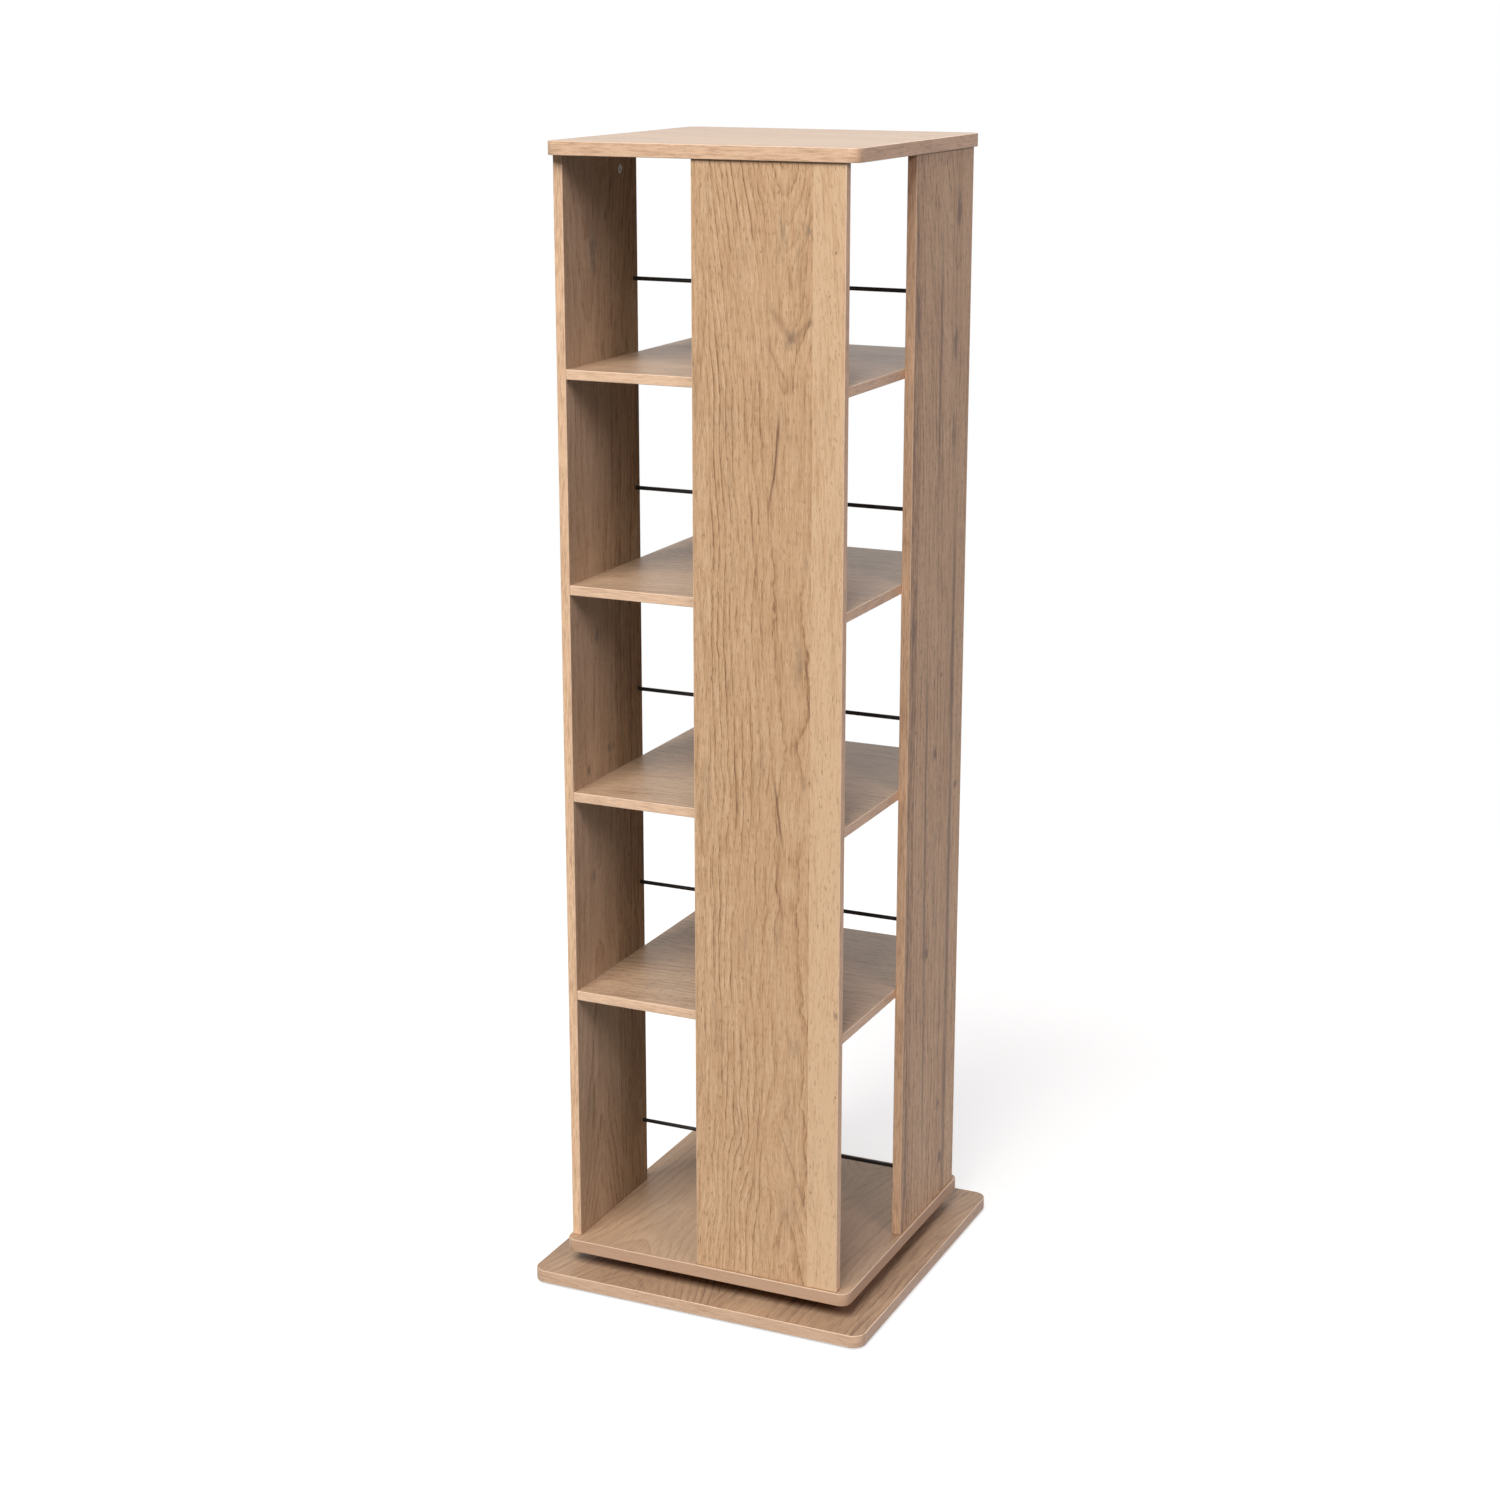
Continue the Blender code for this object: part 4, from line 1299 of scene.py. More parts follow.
@dataclass
class GuardRod:
    """A coated steel rod across the middle of one tier."""

    node: str
    steps: int = 32
    end_chamfer: float = 0.0004
    play: float = 0.00015
    overrun: float = 0.02

    def __post_init__(self) -> None:
        """Read the rod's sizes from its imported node."""
        self.low, self.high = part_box(self.node)
        self.radius = (self.high.z - self.low.z) / 2

    def build(self, finish: bpy.types.Material) -> None:
        """Build the rod.

        Args:
            finish: The coat that all the rods share.
        """
        length = self.high.x - self.low.x
        edge = self.radius - self.end_chamfer
        bm = revolve([(0.0, length / 2), (edge, length / 2),
                      (self.radius, length / 2 - self.end_chamfer),
                      (self.radius, -length / 2 + self.end_chamfer), (edge, -length / 2),
                      (0.0, -length / 2)], self.steps)
        centre = (self.low + self.high) / 2
        bmesh.ops.transform(bm, verts=bm.verts, matrix=Matrix.Translation(centre)
                            @ Matrix.Rotation(math.pi / 2, 4, "Y"))
        item = finish_mesh(bm, f"{self.node}_bar")
        wear(item, finish)
        seat(item, self.node, "tower")

    def bores(self) -> tuple[Bore, Bore]:
        """Place the sockets for the rod's two ends.

        Returns:
            The left socket and the right one.
        """
        middle = (self.low + self.high) / 2
        ends = []
        for sign, end in ((-1, self.low.x), (1, self.high.x)):
            tip = Vector((end + sign * self.play, middle.y, middle.z))
            inner = tip - Vector((sign * self.overrun, 0, 0))
            ends.append(Bore(tip, inner, self.radius + self.play))
        return ends[0], ends[1]


@dataclass
class Screw:
    """A wood screw with a cross recess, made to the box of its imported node."""

    node: str
    body: str
    upwards: bool
    countersunk: bool
    shank: float
    head_height: float
    play: float = 0.0003
    overrun: float = 0.002
    rim: float = 0.0002
    dome_share: float = 0.75
    dome_steps: int = 8
    tip_share: float = 0.25
    arm_share: float = 0.48
    arm_width_share: float = 0.2
    recess_share: float = 0.65
    first_turn: float = math.radians(30.0)
    turn_for_place: float = 9.0
    steps: int = 32

    def __post_init__(self) -> None:
        """Read the screw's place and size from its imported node."""
        self.low, self.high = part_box(self.node)
        self.head = (self.high.x - self.low.x) / 2
        self.length = self.high.z - self.low.z
        self.tip = (self.length - self.head_height) * self.tip_share
        self.point = Vector((0, 0, 1 if self.upwards else -1))
        self.mouth = (self.low + self.high) / 2 - self.point * (self.length / 2)

    def bore(self) -> Bore:
        """Place the shank's hole, from outside the head to past the tip."""
        return Bore(self.mouth - self.point * self.overrun,
                    self.mouth + self.point * (self.length + self.play), self.shank + self.play)

    def sink(self) -> Bore:
        """Place the cone that lets a countersunk head into its board.

        Returns:
            The cone.
        """
        slope = (self.head - self.shank) / self.head_height
        return Bore(self.mouth - self.point * self.overrun,
                    self.mouth + self.point * (self.head_height + self.play),
                    self.head + self.play + slope * self.overrun, self.shank)

    def build(self, finish: bpy.types.Material) -> None:
        """Build the screw.

        Args:
            finish: The plated metal that all the screws share.
        """
        if self.countersunk:
            profile = [(0.0, 0.0), (self.head - self.rim, 0.0), (self.head, -self.rim),
                       (self.shank, -self.head_height)]
        else:
            rise = self.head_height * self.dome_share
            arc = [math.pi / 2 * step / self.dome_steps for step in range(self.dome_steps + 1)]
            profile = [(self.head * math.sin(a), rise * (math.cos(a) - 1.0)) for a in arc]
            profile += [(self.head, -self.head_height), (self.shank, -self.head_height)]
        profile += [(self.shank, self.tip - self.length), (0.0, -self.length)]
        bm = revolve(profile, self.steps)
        stand = Matrix.Translation(self.mouth)
        if self.upwards:
            stand = stand @ Matrix.Rotation(math.pi, 4, "X")
        bmesh.ops.transform(bm, matrix=stand, verts=bm.verts)
        item = finish_mesh(bm, f"{self.node}_driven")
        angle = self.first_turn + self.mouth.x * self.turn_for_place
        turned = Matrix.Rotation(angle, 4, "Z")
        cut_cross(item, stand @ turned, self.head * self.arm_share,
                  self.head * self.arm_width_share, self.head_height * self.recess_share)
        wear(item, finish)
        seat(item, self.node, self.body)


@dataclass
class Glide:
    """A nail-on plastic glide under the base board."""

    node: str
    height: float = 0.003
    pin_radius: float = 0.0012
    nail_head: float = 0.0042
    nail_edge: float = 0.0004
    dish: float = 0.0007
    round_over: float = 0.0012
    round_steps: int = 4
    top_chamfer: float = 0.0003
    play: float = 0.0003
    overrun: float = 0.002
    steps: int = 48

    def __post_init__(self) -> None:
        """Read the glide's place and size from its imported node."""
        self.low, self.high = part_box(self.node)
        self.centre = (self.low + self.high) / 2
        self.radius = (self.high.x - self.low.x) / 2

    def bore(self) -> Bore:
        """Place the hole for the nail in the board above.

        Returns:
            The hole.
        """
        x, y = self.centre.x, self.centre.y
        return Bore(Vector((x, y, self.low.z + self.height - self.overrun)),
                    Vector((x, y, self.high.z)), self.pin_radius + self.play)

    def build(self, plastic: bpy.types.Material, steel: bpy.types.Material) -> None:
        """Build the glide and its nail.

        Args:
            plastic: The glide's finish.
            steel: The nail's finish.
        """
        length = self.high.z - self.low.z
        edge, rim = self.radius, self.round_over
        profile = [(0.0, self.dish), (self.nail_head, self.dish),
                   (self.nail_head + self.nail_edge, 0.0)]
        for step in range(self.round_steps + 1):
            angle = math.pi / 2 * step / self.round_steps
            profile.append((edge - rim + rim * math.sin(angle), rim - rim * math.cos(angle)))
        profile += [(edge, self.height - self.top_chamfer),
                    (edge - self.top_chamfer, self.height), (self.pin_radius, self.height),
                    (self.pin_radius, length - self.pin_radius), (0.0, length)]
        bm = revolve(profile, self.steps)
        at = Vector((self.centre.x, self.centre.y, self.low.z))
        bmesh.ops.transform(bm, matrix=Matrix.Translation(at), verts=bm.verts)
        item = finish_mesh(bm, f"{self.node}_moulding")
        wear(item, plastic, steel)
        for face in item.data.polygons:
            middle = face.center - at
            reach = math.hypot(middle.x, middle.y)
            if reach < self.nail_head and (middle.z > self.height or middle.z < self.height / 2):
                face.material_index = 1
        seat(item, self.node, "base")


@dataclass
class BallRing:
    """The cage between the swivel's plates, with a ball in each of its pockets."""

    node: str = "ball_ring"
    ball_radius: float = 0.004
    ball_count: int = 16
    cage_width: float = 0.011
    cage_thickness: float = 0.002
    cage_edge: float = 0.0002
    pocket_play: float = 0.0002
    steps: int = 128
    ball_steps: tuple[int, int] = (24, 16)

    def __post_init__(self) -> None:
        """Read the ring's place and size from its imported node."""
        low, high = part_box(self.node)
        self.centre = (low + high) / 2
        self.race_radius = (high.x - low.x - self.cage_width) / 2

    def build(self, cage: bpy.types.Material, steel: bpy.types.Material) -> None:
        """Build the cage and its balls.

        Args:
            cage: The cage's finish.
            steel: The balls' finish.
        """
        half, wide, ease = self.cage_thickness / 2, self.cage_width / 2, self.cage_edge
        ring = []
        for side, end in ((1, 1), (1, -1), (-1, -1), (-1, 1)):
            corner = (self.race_radius + side * wide, end * half)
            first = (corner[0] - side * ease, corner[1])
            second = (corner[0], corner[1] - end * ease)
            ring += [first, second] if side == end else [second, first]
        item = finish_mesh(revolve(ring, self.steps), f"{self.node}_cage")
        spots = []
        pockets = bmesh.new()
        for index in range(self.ball_count):
            angle = 2 * math.pi * index / self.ball_count
            spot = Vector((math.cos(angle), math.sin(angle), 0)) * self.race_radius
            spots.append(spot)
            drop = Vector((0, 0, 2 * half))
            along_line(pockets, spot - drop, spot + drop, self.ball_radius + self.pocket_play)
        combine(item, finish_mesh(pockets, "pockets"), Joining.CUT)
        wear(item, cage, steel)
        bm = bmesh.new()
        bm.from_mesh(item.data)
        for face in bm.faces:
            face.material_index = 0
        for spot in spots:
            made = bmesh.ops.create_uvsphere(bm, u_segments=self.ball_steps[0],
                                             v_segments=self.ball_steps[1],
                                             radius=self.ball_radius,
                                             matrix=Matrix.Translation(spot))
            for face in {f for vert in made["verts"] for f in vert.link_faces}:
                face.material_index = 1
                face.smooth = True
        bmesh.ops.translate(bm, vec=self.centre, verts=bm.verts)
        bm.to_mesh(item.data)
        bm.free()
        seat(item, self.node, "ring")


@dataclass
class SwivelPlate:
    """A square plate of the swivel, pressed round the groove that the balls run in.

    The facing is -1 for the plate below the balls and 1 for the one above them. Only the lower
    plate has the eyelet, whose tube passes through the upper one and is rolled over it.
    """

    node: str
    body: str
    facing: int
    centre: float
    half_gap: float
    race_radius: float
    sheet: float = 0.0018
    corner_radius: float = 0.012
    groove: float = 0.0043
    half_angle: float = math.radians(40.0)
    table_margin: float = 0.008
    draw_run: float = 0.003
    flange_lap: float = 0.004
    eyelet_inset: float = 0.031
    eyelet_play: float = 0.0014
    eyelet_lift: float = 0.0005
    eyelet_rim: float = 0.005
    edge: float = 0.0003
    side_steps: int = 26
    corner_steps: int = 10
    groove_steps: int = 24
    ease_step: float = 0.00025
    ease_passes: int = 26
    least_turn: float = math.radians(5.0)

    def build(self, finish: bpy.types.Material, holes: list[Bore]) -> None:
        """Build the plate.

        Args:
            finish: The plated metal.
            holes: The holes for its screws.
        """
        low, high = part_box(self.node)
        self.half_side = (high.x - low.x) / 2
        ball_side, back = self._section()
        loops = [self._square(self.edge, ball_side[0][1]),
                 self._square(0.0, ball_side[0][1] + self.facing * self.edge)]
        loops[0], loops[1] = loops[1], loops[0]
        loops += [self._circle(radius, level) for radius, level in ball_side + back[::-1]]
        loops += [self._square(self.edge, back[0][1]),
                  self._square(0.0, back[0][1] - self.facing * self.edge)]
        bm = bmesh.new()
        rows = [[bm.verts.new(point) for point in loop] for loop in loops]
        count = len(rows[0])
        for row, following in zip(rows, rows[1:] + rows[:1]):
            for i in range(count):
                j = (i + 1) % count
                bm.faces.new((row[i], row[j], following[j], following[i]))
        item = finish_mesh(bm, f"{self.node}_pressing")
        cutters = bmesh.new()
        for hole in holes:
            along_line(cutters, hole.start, hole.end, hole.radius)
        combine(item, finish_mesh(cutters, "holes"), Joining.CUT)
        wear(item, finish)
        seat(item, self.node, self.body)

    def _section(self) -> tuple[Points, Points]:
        """Draw the section of the sheet, from the flange in.

        Returns:
            The points of its ball side and those of its back.
        """
        half = self.sheet / 2
        reach = self.groove + half
        table = self.groove * math.cos(self.half_angle) + half
        edge_angle = math.acos(table / reach)
        groove_edge = self.race_radius + self.groove * math.sin(self.half_angle)
        table_edge = groove_edge + self.table_margin
        foot = table_edge + self.draw_run
        flange = self.half_gap - half
        slope = math.atan2(flange - table, self.draw_run)
        shift = half * math.tan(slope / 2)
        line = [(foot + self.flange_lap, flange), (foot - shift, flange),
                (table_edge - shift, table)]
        for step in range(self.groove_steps + 1):
            angle = edge_angle * (1 - 2 * step / self.groove_steps)
            line.append((self.race_radius + reach * math.sin(angle), reach * math.cos(angle)))
        eyelet = self.race_radius - self.eyelet_inset
        if self.facing > 0:
            line.append((eyelet + self.eyelet_play, table))
        else:
            rim = -(table + half + self.eyelet_lift + half)
            line += [(eyelet - half, table), (eyelet - half, rim), (eyelet + self.eyelet_rim, rim)]
        line = self._eased([(radius, self.facing * level) for radius, level in line])
        ball_side, back = [], []
        for i, (radius, level) in enumerate(line):
            before, after = line[max(i - 1, 0)], line[min(i + 1, len(line) - 1)]
            run, rise = after[0] - before[0], after[1] - before[1]
            size = math.hypot(run, rise) * self.facing
            out = (-rise / size * half, run / size * half)
            ball_side.append((radius + out[0], self.centre + level + out[1]))
            back.append((radius - out[0], self.centre + level - out[1]))
        return ball_side, back

    def _eased(self, line: Points) -> Points:
        """Round a line's corners, then keep only the points where it turns.

        Args:
            line: The line's points.

        Returns:
            The rounded line's points.
        """
        points = [Vector(line[0])]
        for start, end in zip(line, line[1:]):
            run = Vector(end) - Vector(start)
            count = max(1, round(run.length / self.ease_step))
            points += [Vector(start) + run * (i / count) for i in range(1, count + 1)]
        for _ in range(self.ease_passes):
            middle = [(before + 2 * at + after) / 4
                      for before, at, after in zip(points, points[1:], points[2:])]
            points = [points[0], *middle, points[-1]]
        kept = [points[0]]
        for at, after in zip(points[1:], points[2:]):
            going, next_run = at - kept[-1], after - at
            if going.angle(next_run) > self.least_turn:
                kept.append(at)
        kept.append(points[-1])
        return [tuple(point) for point in kept]

    def _angles(self) -> list[float]:
        """Share the mesh's points out round the plate, thickest at its corners.

        Returns:
            Their directions from the axis.
        """
        turn = math.atan2(self.half_side - self.corner_radius, self.half_side)
        angles = []
        for quarter in range(4):
            start = quarter * math.pi / 2
            angles += [start - turn + 2 * turn * i / self.side_steps
                       for i in range(self.side_steps)]
            corner = math.pi / 2 - 2 * turn
            angles += [start + turn + corner * i / self.corner_steps
                       for i in range(self.corner_steps)]
        return angles

    def _circle(self, radius: float, level: float) -> Loop:
        """List the points of a circle round the swivel's axis."""
        return [(radius * math.cos(a), radius * math.sin(a), level) for a in self._angles()]

    def _square(self, inset: float, level: float) -> Loop:
        """List the points of the plate's outline.

        Args:
            inset: How far they are set in from its edge.
            level: Their height.

        Returns:
            The points.
        """
        half, points = self.half_side, []
        middle = half - self.corner_radius
        radius = self.corner_radius - inset
        for angle in self._angles():
            way = (abs(math.cos(angle)), abs(math.sin(angle)))
            reach = (half - inset) / max(way)
            if min(way) * reach > middle:
                along = middle * (way[0] + way[1])
                reach = along + math.sqrt(along ** 2 - 2 * middle ** 2 + radius ** 2)
            points.append((reach * math.cos(angle), reach * math.sin(angle), level))
        return points


# The studio


@dataclass(frozen=True)
class Lamp:
    """A soft square lamp, placed by its direction from the middle of the bookcase.

    The azimuth is in degrees from the front towards the right. The level is how bright a white
    card looks that faces the lamp from the middle of the bookcase, where 1 is white.
    """

    name: str
    azimuth: float
    elevation: float
    distance: float
    size: float
    level: float
    colour: Tone = WHITE[:3]
    middle: float = 0.72

    def build(self) -> None:
        """Build the lamp."""
        azimuth, elevation = math.radians(self.azimuth), math.radians(self.elevation)
        toward = Vector((math.cos(elevation) * math.sin(azimuth),
                         -math.cos(elevation) * math.cos(azimuth), math.sin(elevation)))
        lamp = bpy.data.lights.new(self.name, "AREA")
        lamp.shape = "SQUARE"
        lamp.size = self.size
        lamp.energy = self.level * (math.pi * self.distance) ** 2
        lamp.color = self.colour
        item = bpy.data.objects.new(self.name, lamp)
        item.location = toward * self.distance + Vector((0, 0, self.middle))
        item.rotation_euler = (-toward).to_track_quat("-Z", "Y").to_euler()
        bpy.context.scene.collection.objects.link(item)


@dataclass(frozen=True)
class Studio:
    """The pale floor, the soft lamps and the camera."""

    eye: tuple[float, float, float] = (1.343, -2.997, 1.589)
    yaw: float = 0.428
    tilt: float = -0.271
    lens: float = 65.2
    surround: float = 0.08
    floor_half: float = 9.0
    floor_glow: float = 0.66
    floor_fade: Range = (1.0, 2.6)
    floor_seen: float = 0.45
    floor_lit: float = 0.22
    floor_roughness: float = 0.9
    lamps: tuple[Lamp, ...] = (
        Lamp("key", -5.0, 52.0, 14.0, 8.0, 1.17, (1.0, 0.985, 0.955)),
        Lamp("fill", 56.0, 30.0, 10.0, 3.4, 0.25, (1.17, 0.94, 0.99)),
        Lamp("back", 172.0, 36.0, 9.0, 3.6, 0.28),
    )

    def build(self) -> None:
        """Build the floor, the lamps, the surroundings and the camera."""
        self._floor()
        self._surroundings()
        for lamp in self.lamps:
            lamp.build()
        self._camera()

    def _camera(self) -> None:
        """Put the camera at the photograph's viewing angle."""
        forward = Vector((-math.sin(self.yaw) * math.cos(self.tilt),
                          math.cos(self.yaw) * math.cos(self.tilt), math.sin(self.tilt)))
        camera = bpy.data.cameras.new("camera")
        camera.lens = self.lens
        item = bpy.data.objects.new("camera", camera)
        item.location = self.eye
        item.rotation_euler = forward.to_track_quat("-Z", "Y").to_euler()
        bpy.context.scene.collection.objects.link(item)
        bpy.context.scene.camera = item
        bpy.context.scene.view_settings.view_transform = "Standard"

    def _surroundings(self) -> None:
        """Make the world plain white to look at, and a soft even light on the bookcase."""
        world = bpy.data.worlds.new("studio")
        world.use_nodes = True
        bpy.context.scene.world = world
        sketch = Sketch(world.node_tree)
        background = world.node_tree.nodes["Background"]
        strength = sketch.math("MULTIPLY_ADD", self._seen(sketch), 1.0 - self.surround,
                               self.surround)
        sketch.feed_all(background, {"Color": WHITE, "Strength": strength})

    def _seen(self, sketch: Sketch) -> Socket:
        """Tell the rays that look at a surface from those that light one.

        Args:
            sketch: The sketch of the material's or the world's tree.

        Returns:
            1 for the first and 0 for the second.
        """
        path = sketch.add("LightPath")
        return sketch.math("ADD", sketch.math("ADD", path.outputs["Is Camera Ray"],
                                              path.outputs["Is Glossy Ray"]),
                           path.outputs["Is Transmission Ray"], clamp=True)

    def _floor(self) -> None:
        """Lay the pale floor, which is white to look at apart from the bookcase's shadow."""
        bm = bmesh.new()
        bmesh.ops.create_grid(bm, x_segments=1, y_segments=1, size=self.floor_half)
        item = finish_mesh(bm, "studio_floor")
        material, sketch, shader = new_material("pale_floor")
        x, y, _ = sketch.place()
        away = sketch.math("SQRT", sketch.math("ADD", sketch.scaled(x, x), sketch.scaled(y, y)))
        fade = sketch.band(away, *self.floor_fade)
        seen = self._seen(sketch)
        lit, bright = ((tone, tone, tone, 1.0) for tone in (self.floor_lit, self.floor_seen))
        colour = sketch.mix(fade, sketch.mix(seen, lit, bright), BLACK)
        glow = sketch.math("MULTIPLY_ADD", fade, 1.0 - self.floor_glow, self.floor_glow)
        sketch.feed_all(shader, {"Base Color": colour, "Roughness": self.floor_roughness,
                                 "Specular IOR Level": 0.0, "Emission Color": WHITE,
                                 "Emission Strength": sketch.scaled(seen, glow)})
        item.data.materials.append(material)


# The bookcase


FRONT_FIGURE = Figure(
    planks=(Plank(-1.0, 0.06, 0.05, 0.02, 0.9, 0.06, 0.006, 0.45, 0.6),
            Plank(0.0125, 0.112, 0.022, 0.046, 0.64, 0.0, 0.0066, 1.05, 0.75),
            Plank(0.140, 0.30, 0.05, 0.02, 0.6, 0.30, 0.009, 0.12, 0.1)),
    knots=(Knot(0.0750, 0.235, 0.026, 0.0, 0.8, 2.0), Knot(0.0350, 0.150, 0.020, 0.1, 0.7, 2.0),
           Knot(0.1150, 0.150, 0.020, 0.5, 0.7, 1.6), Knot(0.1340, 1.337, 0.007, 1.2, 0.8, 1.6),
           Knot(0.1045, 1.333, 0.007, 0.8, 0.3, 4.2), Knot(0.1146, 1.217, 0.012, 1.2, 0.3, 1.3),
           Knot(0.1375, 1.236, 0.005, 1.0, 0.8, 1.4), Knot(0.1250, 0.845, 0.009, 0.9, 0.5, 4.0),
           Knot(0.0010, 0.886, 0.006, 0.4, 0.8, 2.0), Knot(0.1335, 0.959, 0.004, 0.6, 0.5, 4.0),
           Knot(0.1679, 0.870, 0.003, 0.6, 0.3, 8.0), Knot(0.1330, 0.699, 0.007, 0.6, 0.5, 2.0),
           Knot(0.1223, 0.366, 0.011, 0.7, 0.4, 1.8), Knot(0.1755, 0.417, 0.005, 1.3, 0.8, 1.6)),
    streaks=(Streak(0.0965, 1.090, 0.038, 0.0017, 0.08, 0.85),
             Streak(0.0900, 1.040, 0.026, 0.0012, 0.16, 0.6),
             Streak(0.1000, 0.660, 0.040, 0.0014, -0.14, 0.8),
             Streak(0.1015, 1.233, 0.020, 0.0050, -0.70, 0.26),
             Streak(0.1270, 1.227, 0.012, 0.0050, 1.00, 0.28),
             Streak(0.0950, 1.191, 0.024, 0.0020, -0.62, 0.25),
             Streak(0.0480, 0.260, 0.070, 0.0012, -0.10, 0.3),
             Streak(0.1180, 0.215, 0.050, 0.0014, -0.35, 0.35)),
    seed=1.7)
RIGHT_FIGURE = Figure(
    planks=(Plank(-1.0, 0.15, 0.06, 0.02, 0.7, -0.30, 0.012, 0.6),
            Plank(0.0130, 0.2, 0.04, 0.03, 0.4, 0.0, 0.010, 0.9),
            Plank(0.0510, 0.2, 0.04, 0.03, 0.4, 0.04, 0.010, 0.8),
            Plank(0.115, 0.14, 0.02, 0.05, 0.8, -0.06, 0.007, 1.0),
            Plank(0.1450, 0.1, 0.05, 0.03, 0.9, 0.06, 0.009, 0.6)),
    knots=(Knot(0.0840, 0.671, 0.010, 2.4, 0.3, 1.0), Knot(0.0650, 0.414, 0.012, 2.4, 0.3, 0.9),
           Knot(0.1210, 0.186, 0.009, 1.8, 0.3, 1.0), Knot(0.1300, 1.180, 0.011, 1.4, 0.5, 3.0),
           Knot(0.1330, 1.340, 0.012, 2.0, 0.4, 2.2), Knot(0.1300, 1.070, 0.011, 1.4, 0.5, 3.0),
           Knot(0.1610, 0.614, 0.010, 1.3, 0.3, 0.8), Knot(0.1280, 0.107, 0.011, 1.8, 0.3, 1.2),
           Knot(0.1015, 0.771, 0.004, 2.4, 0.2, 1.0), Knot(0.0020, 1.230, 0.009, 1.5, 0.2, 5.0),
           Knot(0.0020, 0.840, 0.010, 1.6, 0.2, 4.0)),
    streaks=(Streak(0.0800, 1.160, 0.150, 0.0034, 0.0, 0.80),
             Streak(0.0540, 0.600, 0.180, 0.0034, -0.018, 0.80),
             Streak(0.0600, 0.300, 0.170, 0.0034, -0.020, 0.65),
             Streak(0.1400, 0.820, 0.130, 0.0050, 0.0, 0.80),
             Streak(0.1415, 0.480, 0.260, 0.0052, 0.0, 0.70),
             Streak(0.1400, 0.150, 0.110, 0.0062, 0.0, 0.70)),
    seed=15.8, seam=0.3)
BACK_FIGURE = Figure(
    planks=(Plank(-1.0, -0.08, 0.022, 0.05, 0.75, -0.02),
            Plank(-0.03, -0.2, 0.05, 0.03, 0.6, 0.08, 0.009, 0.4)),
    seed=19.6)
LEFT_FIGURE = Figure(
    planks=(Plank(-1.0, -0.12, 0.02, 0.05, 0.8, 0.02),
            Plank(-0.063, -0.2, 0.05, 0.03, 0.5, -0.12, 0.009, 0.6)),
    knots=(Knot(-0.1060, 1.300, 0.015, 1.5, 0.2, 2.8), Knot(-0.0740, 1.336, 0.005, 1.6),
           Knot(-0.0880, 1.179, 0.006, 1.2), Knot(-0.1110, 0.830, 0.008, 1.8, 0.5, 2.0),
           Knot(-0.1380, 0.665, 0.009, 1.8, 0.5, 1.2), Knot(-0.0800, 0.680, 0.011, 2.2, 0.6, 0.8),
           Knot(-0.1530, 0.607, 0.008, 1.4, 0.4, 1.4), Knot(-0.1300, 0.525, 0.006, 2.0)),
    streaks=(Streak(-0.1030, 1.095, 0.050, 0.0022, 0.0, 0.4),
             Streak(-0.1220, 0.750, 0.050, 0.0020, 0.05, 0.5),
             Streak(-0.0650, 1.060, 0.080, 0.0018, 0.0, 0.5),
             Streak(-0.1400, 0.250, 0.070, 0.0018, 0.03, 0.4)),
    seed=9.3, seam=0.30)


@dataclass(frozen=True)
class Uprights:
    """The four boards that stand round the tower, and how the print differs on each."""

    body: str = "tower"
    slot: str = "upright_oak"
    looks: tuple[tuple[Side, dict], ...] = (
        (Side.FRONT, dict(figure=FRONT_FIGURE, lift=0.07, contrast=1.08)),
        (Side.RIGHT, dict(figure=RIGHT_FIGURE, tones=UMBER_TONES, lift=0.09, contrast=1.5,
                          coat=0.08)),
        (Side.BACK, dict(figure=BACK_FIGURE)),
        (Side.LEFT, dict(figure=LEFT_FIGURE)),
    )

    def build(self, cams: list[CamFitting], screws: list[Screw], rods: list[GuardRod]) -> None:
        """Build the uprights.

        Args:
            cams: Every cam fitting, of which each upright has its own.
            screws: The screws in the uprights' feet, side by side in turn.
            rods: The guard rods, which end in the left and the right upright.
        """
        for turns, (side, look) in enumerate(self.looks):
            node = f"upright_{side.label}"
            low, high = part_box(node)
            middle = (low + high) / 2
            face = OakPrint(f"oak_{node}", Axis.Z, side.width_axis,
                            inner_beyond=middle[side.thickness_axis.value],
                            inward=-sum(side.value), thickness_axis=side.thickness_axis, **look)
            band = EdgeBand(f"band_{node}", True, thickness_axis=side.thickness_axis)
            mine = [cam.bores() for cam in cams if cam.node.endswith(side.label)]
            at_top = [cam.bores()[0] for cam in cams if cam.node == f"top_cam_{side.label}"]
            sockets = [rod.bores()[side.value[0] > 0] for rod in rods if side.value[0]]
            feet = [screw.bore() for screw in screws[2 * turns:2 * turns + 2]]
            board = Board(node, self.body, self.slot, face, band, side.thickness_axis)
            board.build([at_top + sockets, [bolt for _, bolt in mine] + feet])


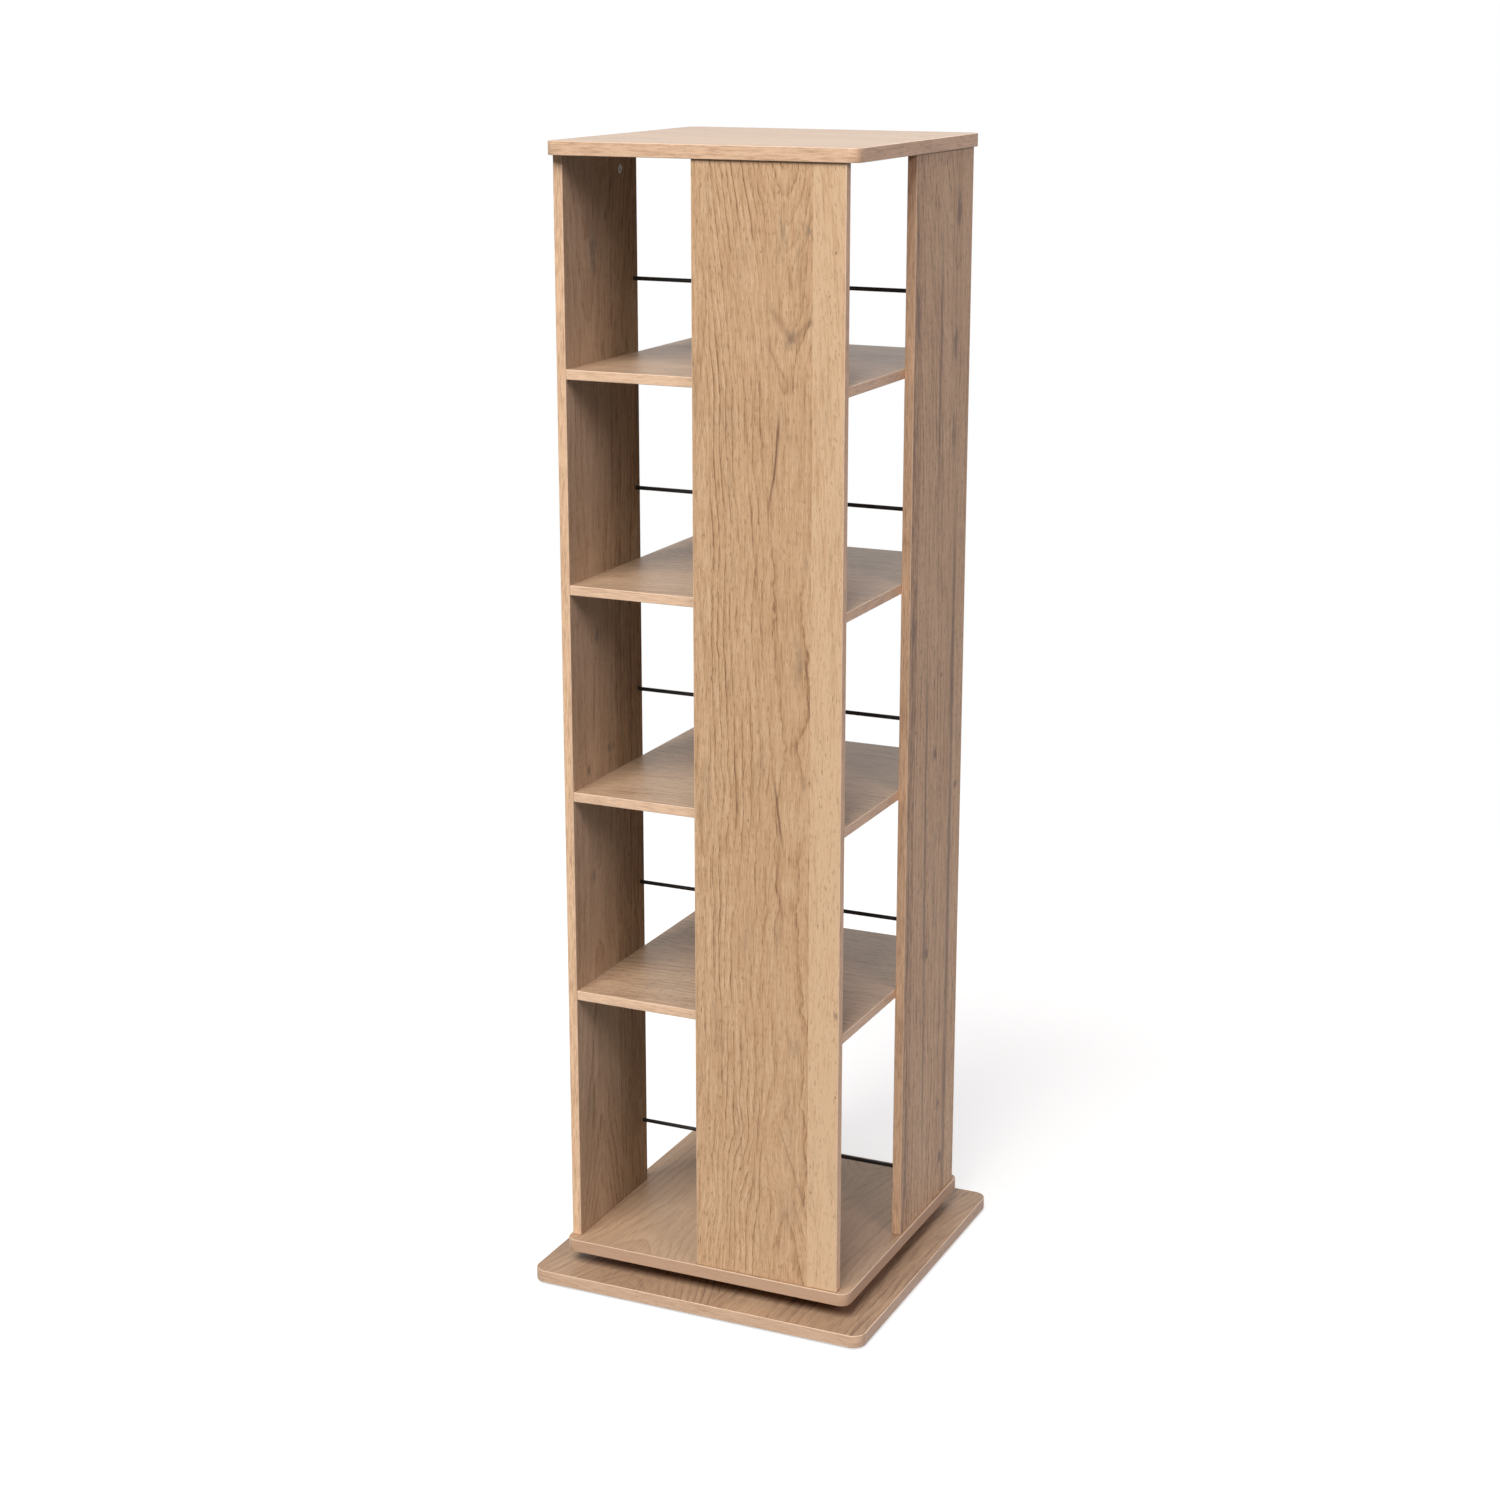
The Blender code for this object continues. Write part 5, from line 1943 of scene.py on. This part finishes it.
@dataclass(frozen=True)
class Shelves:
    """The shelves between the uprights, numbered from the lowest."""

    count: int = 4
    lift: float = 0.10
    contrast: float = 1.5
    coat: float = 0.3
    span: float = 0.3
    first_seed: float = 12.0
    first_pith: float = -0.05
    pith_step: float = 0.03
    middle_step: float = 0.05
    band: Tone = (0.900, 0.640, 0.440)
    band_dark: Tone = (0.600, 0.400, 0.262)

    def figure(self, number: int) -> Figure:
        """Draw up one shelf's figure.

        Args:
            number: The shelf's number.

        Returns:
            Its two planks.
        """
        planks = (Plank(-1.0, self.first_pith + self.pith_step * number, 0.02, 0.05,
                        self.middle_step * number, 0.0),
                  Plank(0.06, 0.16, 0.04, 0.03, 0.0, -0.04))
        return Figure(planks, seed=self.first_seed + number, span=self.span)

    def build(self, cams: list[CamFitting]) -> None:
        """Build the shelves.

        Args:
            cams: Every cam fitting, of which each shelf has its own.
        """
        for number in range(1, self.count + 1):
            node = f"shelf_{number}"
            mine = [cam.bores() for cam in cams if cam.node.startswith(f"{node}_")]
            face = OakPrint(f"oak_{node}", Axis.X, Axis.Y, self.figure(number), TAUPE_TONES,
                            self.lift, self.contrast, self.coat)
            band = EdgeBand(f"band_{node}", False, self.band, self.band_dark)
            board = Board(node, "tower", "shelf_oak", face, band)
            board.build([[cam for cam, _ in mine], [bolt for _, bolt in mine]])


@dataclass(frozen=True)
class Slab:
    """A level board with rounded corners, whose print has two planks."""

    node: str
    body: str
    slot: str
    corner_radius: float
    seed: float
    lift: float
    coat: float
    band: Tone
    along: Axis = Axis.Y
    across: Axis = Axis.X
    contrast: float = 0.7
    span: float = 0.3
    planks: tuple[Plank, ...] = (Plank(-1.0, -0.1, 0.02, 0.05, 0.05, 0.0),
                                 Plank(0.02, 0.08, 0.02, 0.05, -0.1, -0.03))

    def build(self, bores: list[list[Bore]]) -> None:
        """Build the board.

        Args:
            bores: Groups of bores; those of one group don't meet each other.
        """
        face = OakPrint(f"oak_{self.node}", self.along, self.across,
                        Figure(planks=self.planks, seed=self.seed, span=self.span), TAUPE_TONES,
                        self.lift, self.contrast, self.coat)
        band = EdgeBand(f"band_{self.node}", False, self.band)
        board = Board(self.node, self.body, self.slot, face, band,
                      corner_radius=self.corner_radius)
        board.build(bores)


TOP_BOARD = Slab("top_board", "tower", "top_oak", 0.013, 21.0, 0.01, 0.56,
                 (0.830, 0.575, 0.385), Axis.X, Axis.Y)
REVOLVING_FLOOR = Slab("revolving_floor", "tower", "floor_oak", 0.013, 24.0, 0.04, 0.12,
                       (0.550, 0.378, 0.262))
BASE_BOARD = Slab("base_board", "base", "base_oak", 0.017, 27.0, -0.20, 0.12,
                  (0.710, 0.505, 0.355))


@dataclass
class Swivel:
    """The two plates that the tower turns on, the ring of balls between them and their screws."""

    lower_node: str = "swivel_lower_plate"
    upper_node: str = "swivel_upper_plate"
    screws_in_plate: int = 4
    shank: float = 0.0019
    head_height: float = 0.0022

    def __post_init__(self) -> None:
        """List the screws of each plate."""
        self.lower_screws, self.upper_screws = (
            [Screw(f"swivel_{which}_screw_{number + 1}", body, upwards, False, self.shank,
                   self.head_height) for number in range(self.screws_in_plate)]
            for which, body, upwards in (("lower", "base", False), ("upper", "tower", True)))

    def build(self, zinc: bpy.types.Material, steel: bpy.types.Material) -> None:
        """Build the ring and then the plates.

        Args:
            zinc: The plates' and the cage's finish.
            steel: The balls' finish.
        """
        bottom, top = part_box(self.lower_node)[0].z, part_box(self.upper_node)[1].z
        ring = BallRing()
        ring.build(zinc, steel)
        for node, body, facing, screws in ((self.lower_node, "base", -1, self.lower_screws),
                                           (self.upper_node, "tower", 1, self.upper_screws)):
            plate = SwivelPlate(node, body, facing, (bottom + top) / 2, (top - bottom) / 2,
                                ring.race_radius)
            plate.build(zinc, [screw.bore() for screw in screws])


@dataclass
class Bookcase:
    """The whole bookcase, built sub-assembly by sub-assembly."""

    uprights: Uprights = Uprights()
    shelves: Shelves = Shelves()
    glide_count: int = 4
    foot_shank: float = 0.002
    foot_head_height: float = 0.0025

    def __post_init__(self) -> None:
        """List the fittings, whose bores the boards need."""
        count = self.shelves.count
        self.swivel = Swivel()
        self.rods = [GuardRod(f"guard_rod_{number + 1}") for number in range(count + 1)]
        self.foot_screws = [Screw(f"floor_screw_{number + 1}", "tower", True, True,
                                  self.foot_shank, self.foot_head_height)
                            for number in range(2 * len(Side))]
        self.glides = [Glide(f"floor_glide_{number + 1}") for number in range(self.glide_count)]
        down, up = Vector((0, 0, -1)), Vector((0, 0, 1))
        self.cams = [CamFitting(f"shelf_{number}_cam_{side.label}", down, side.outward)
                     for number in range(1, count + 1) for side in Side]
        self.top_cams = [CamFitting(f"top_cam_{side.label}", -side.outward, up) for side in Side]

    def build(self) -> None:
        """Build every piece, the boards first."""
        cams = self.cams + self.top_cams
        self.uprights.build(cams, self.foot_screws, self.rods)
        self.shelves.build(self.cams)
        TOP_BOARD.build([[cam.bores()[1] for cam in self.top_cams]])
        REVOLVING_FLOOR.build([[screw.bore()
                                for screw in self.foot_screws + self.swivel.upper_screws],
                               [screw.sink() for screw in self.foot_screws]])
        BASE_BOARD.build([[piece.bore() for piece in self.glides + self.swivel.lower_screws]])
        steel = SCREW_STEEL.build()
        screws = self.foot_screws + self.swivel.lower_screws + self.swivel.upper_screws
        for pieces, finish in ((cams, NICKEL_CAM.build()), (self.rods, ROD_ENAMEL.build()),
                               (screws, steel)):
            for piece in pieces:
                piece.build(finish)
        plastic = GLIDE_PLASTIC.build()
        for glide in self.glides:
            glide.build(plastic, steel)
        self.swivel.build(ZINC_PLATE.build(), BALL_STEEL.build())


def main() -> None:
    """Build the bookcase and the studio round it."""
    logging.basicConfig(level=logging.INFO, format="%(message)s")
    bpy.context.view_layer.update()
    Bookcase().build()
    Studio().build()


if __name__ == "__main__":
    main()
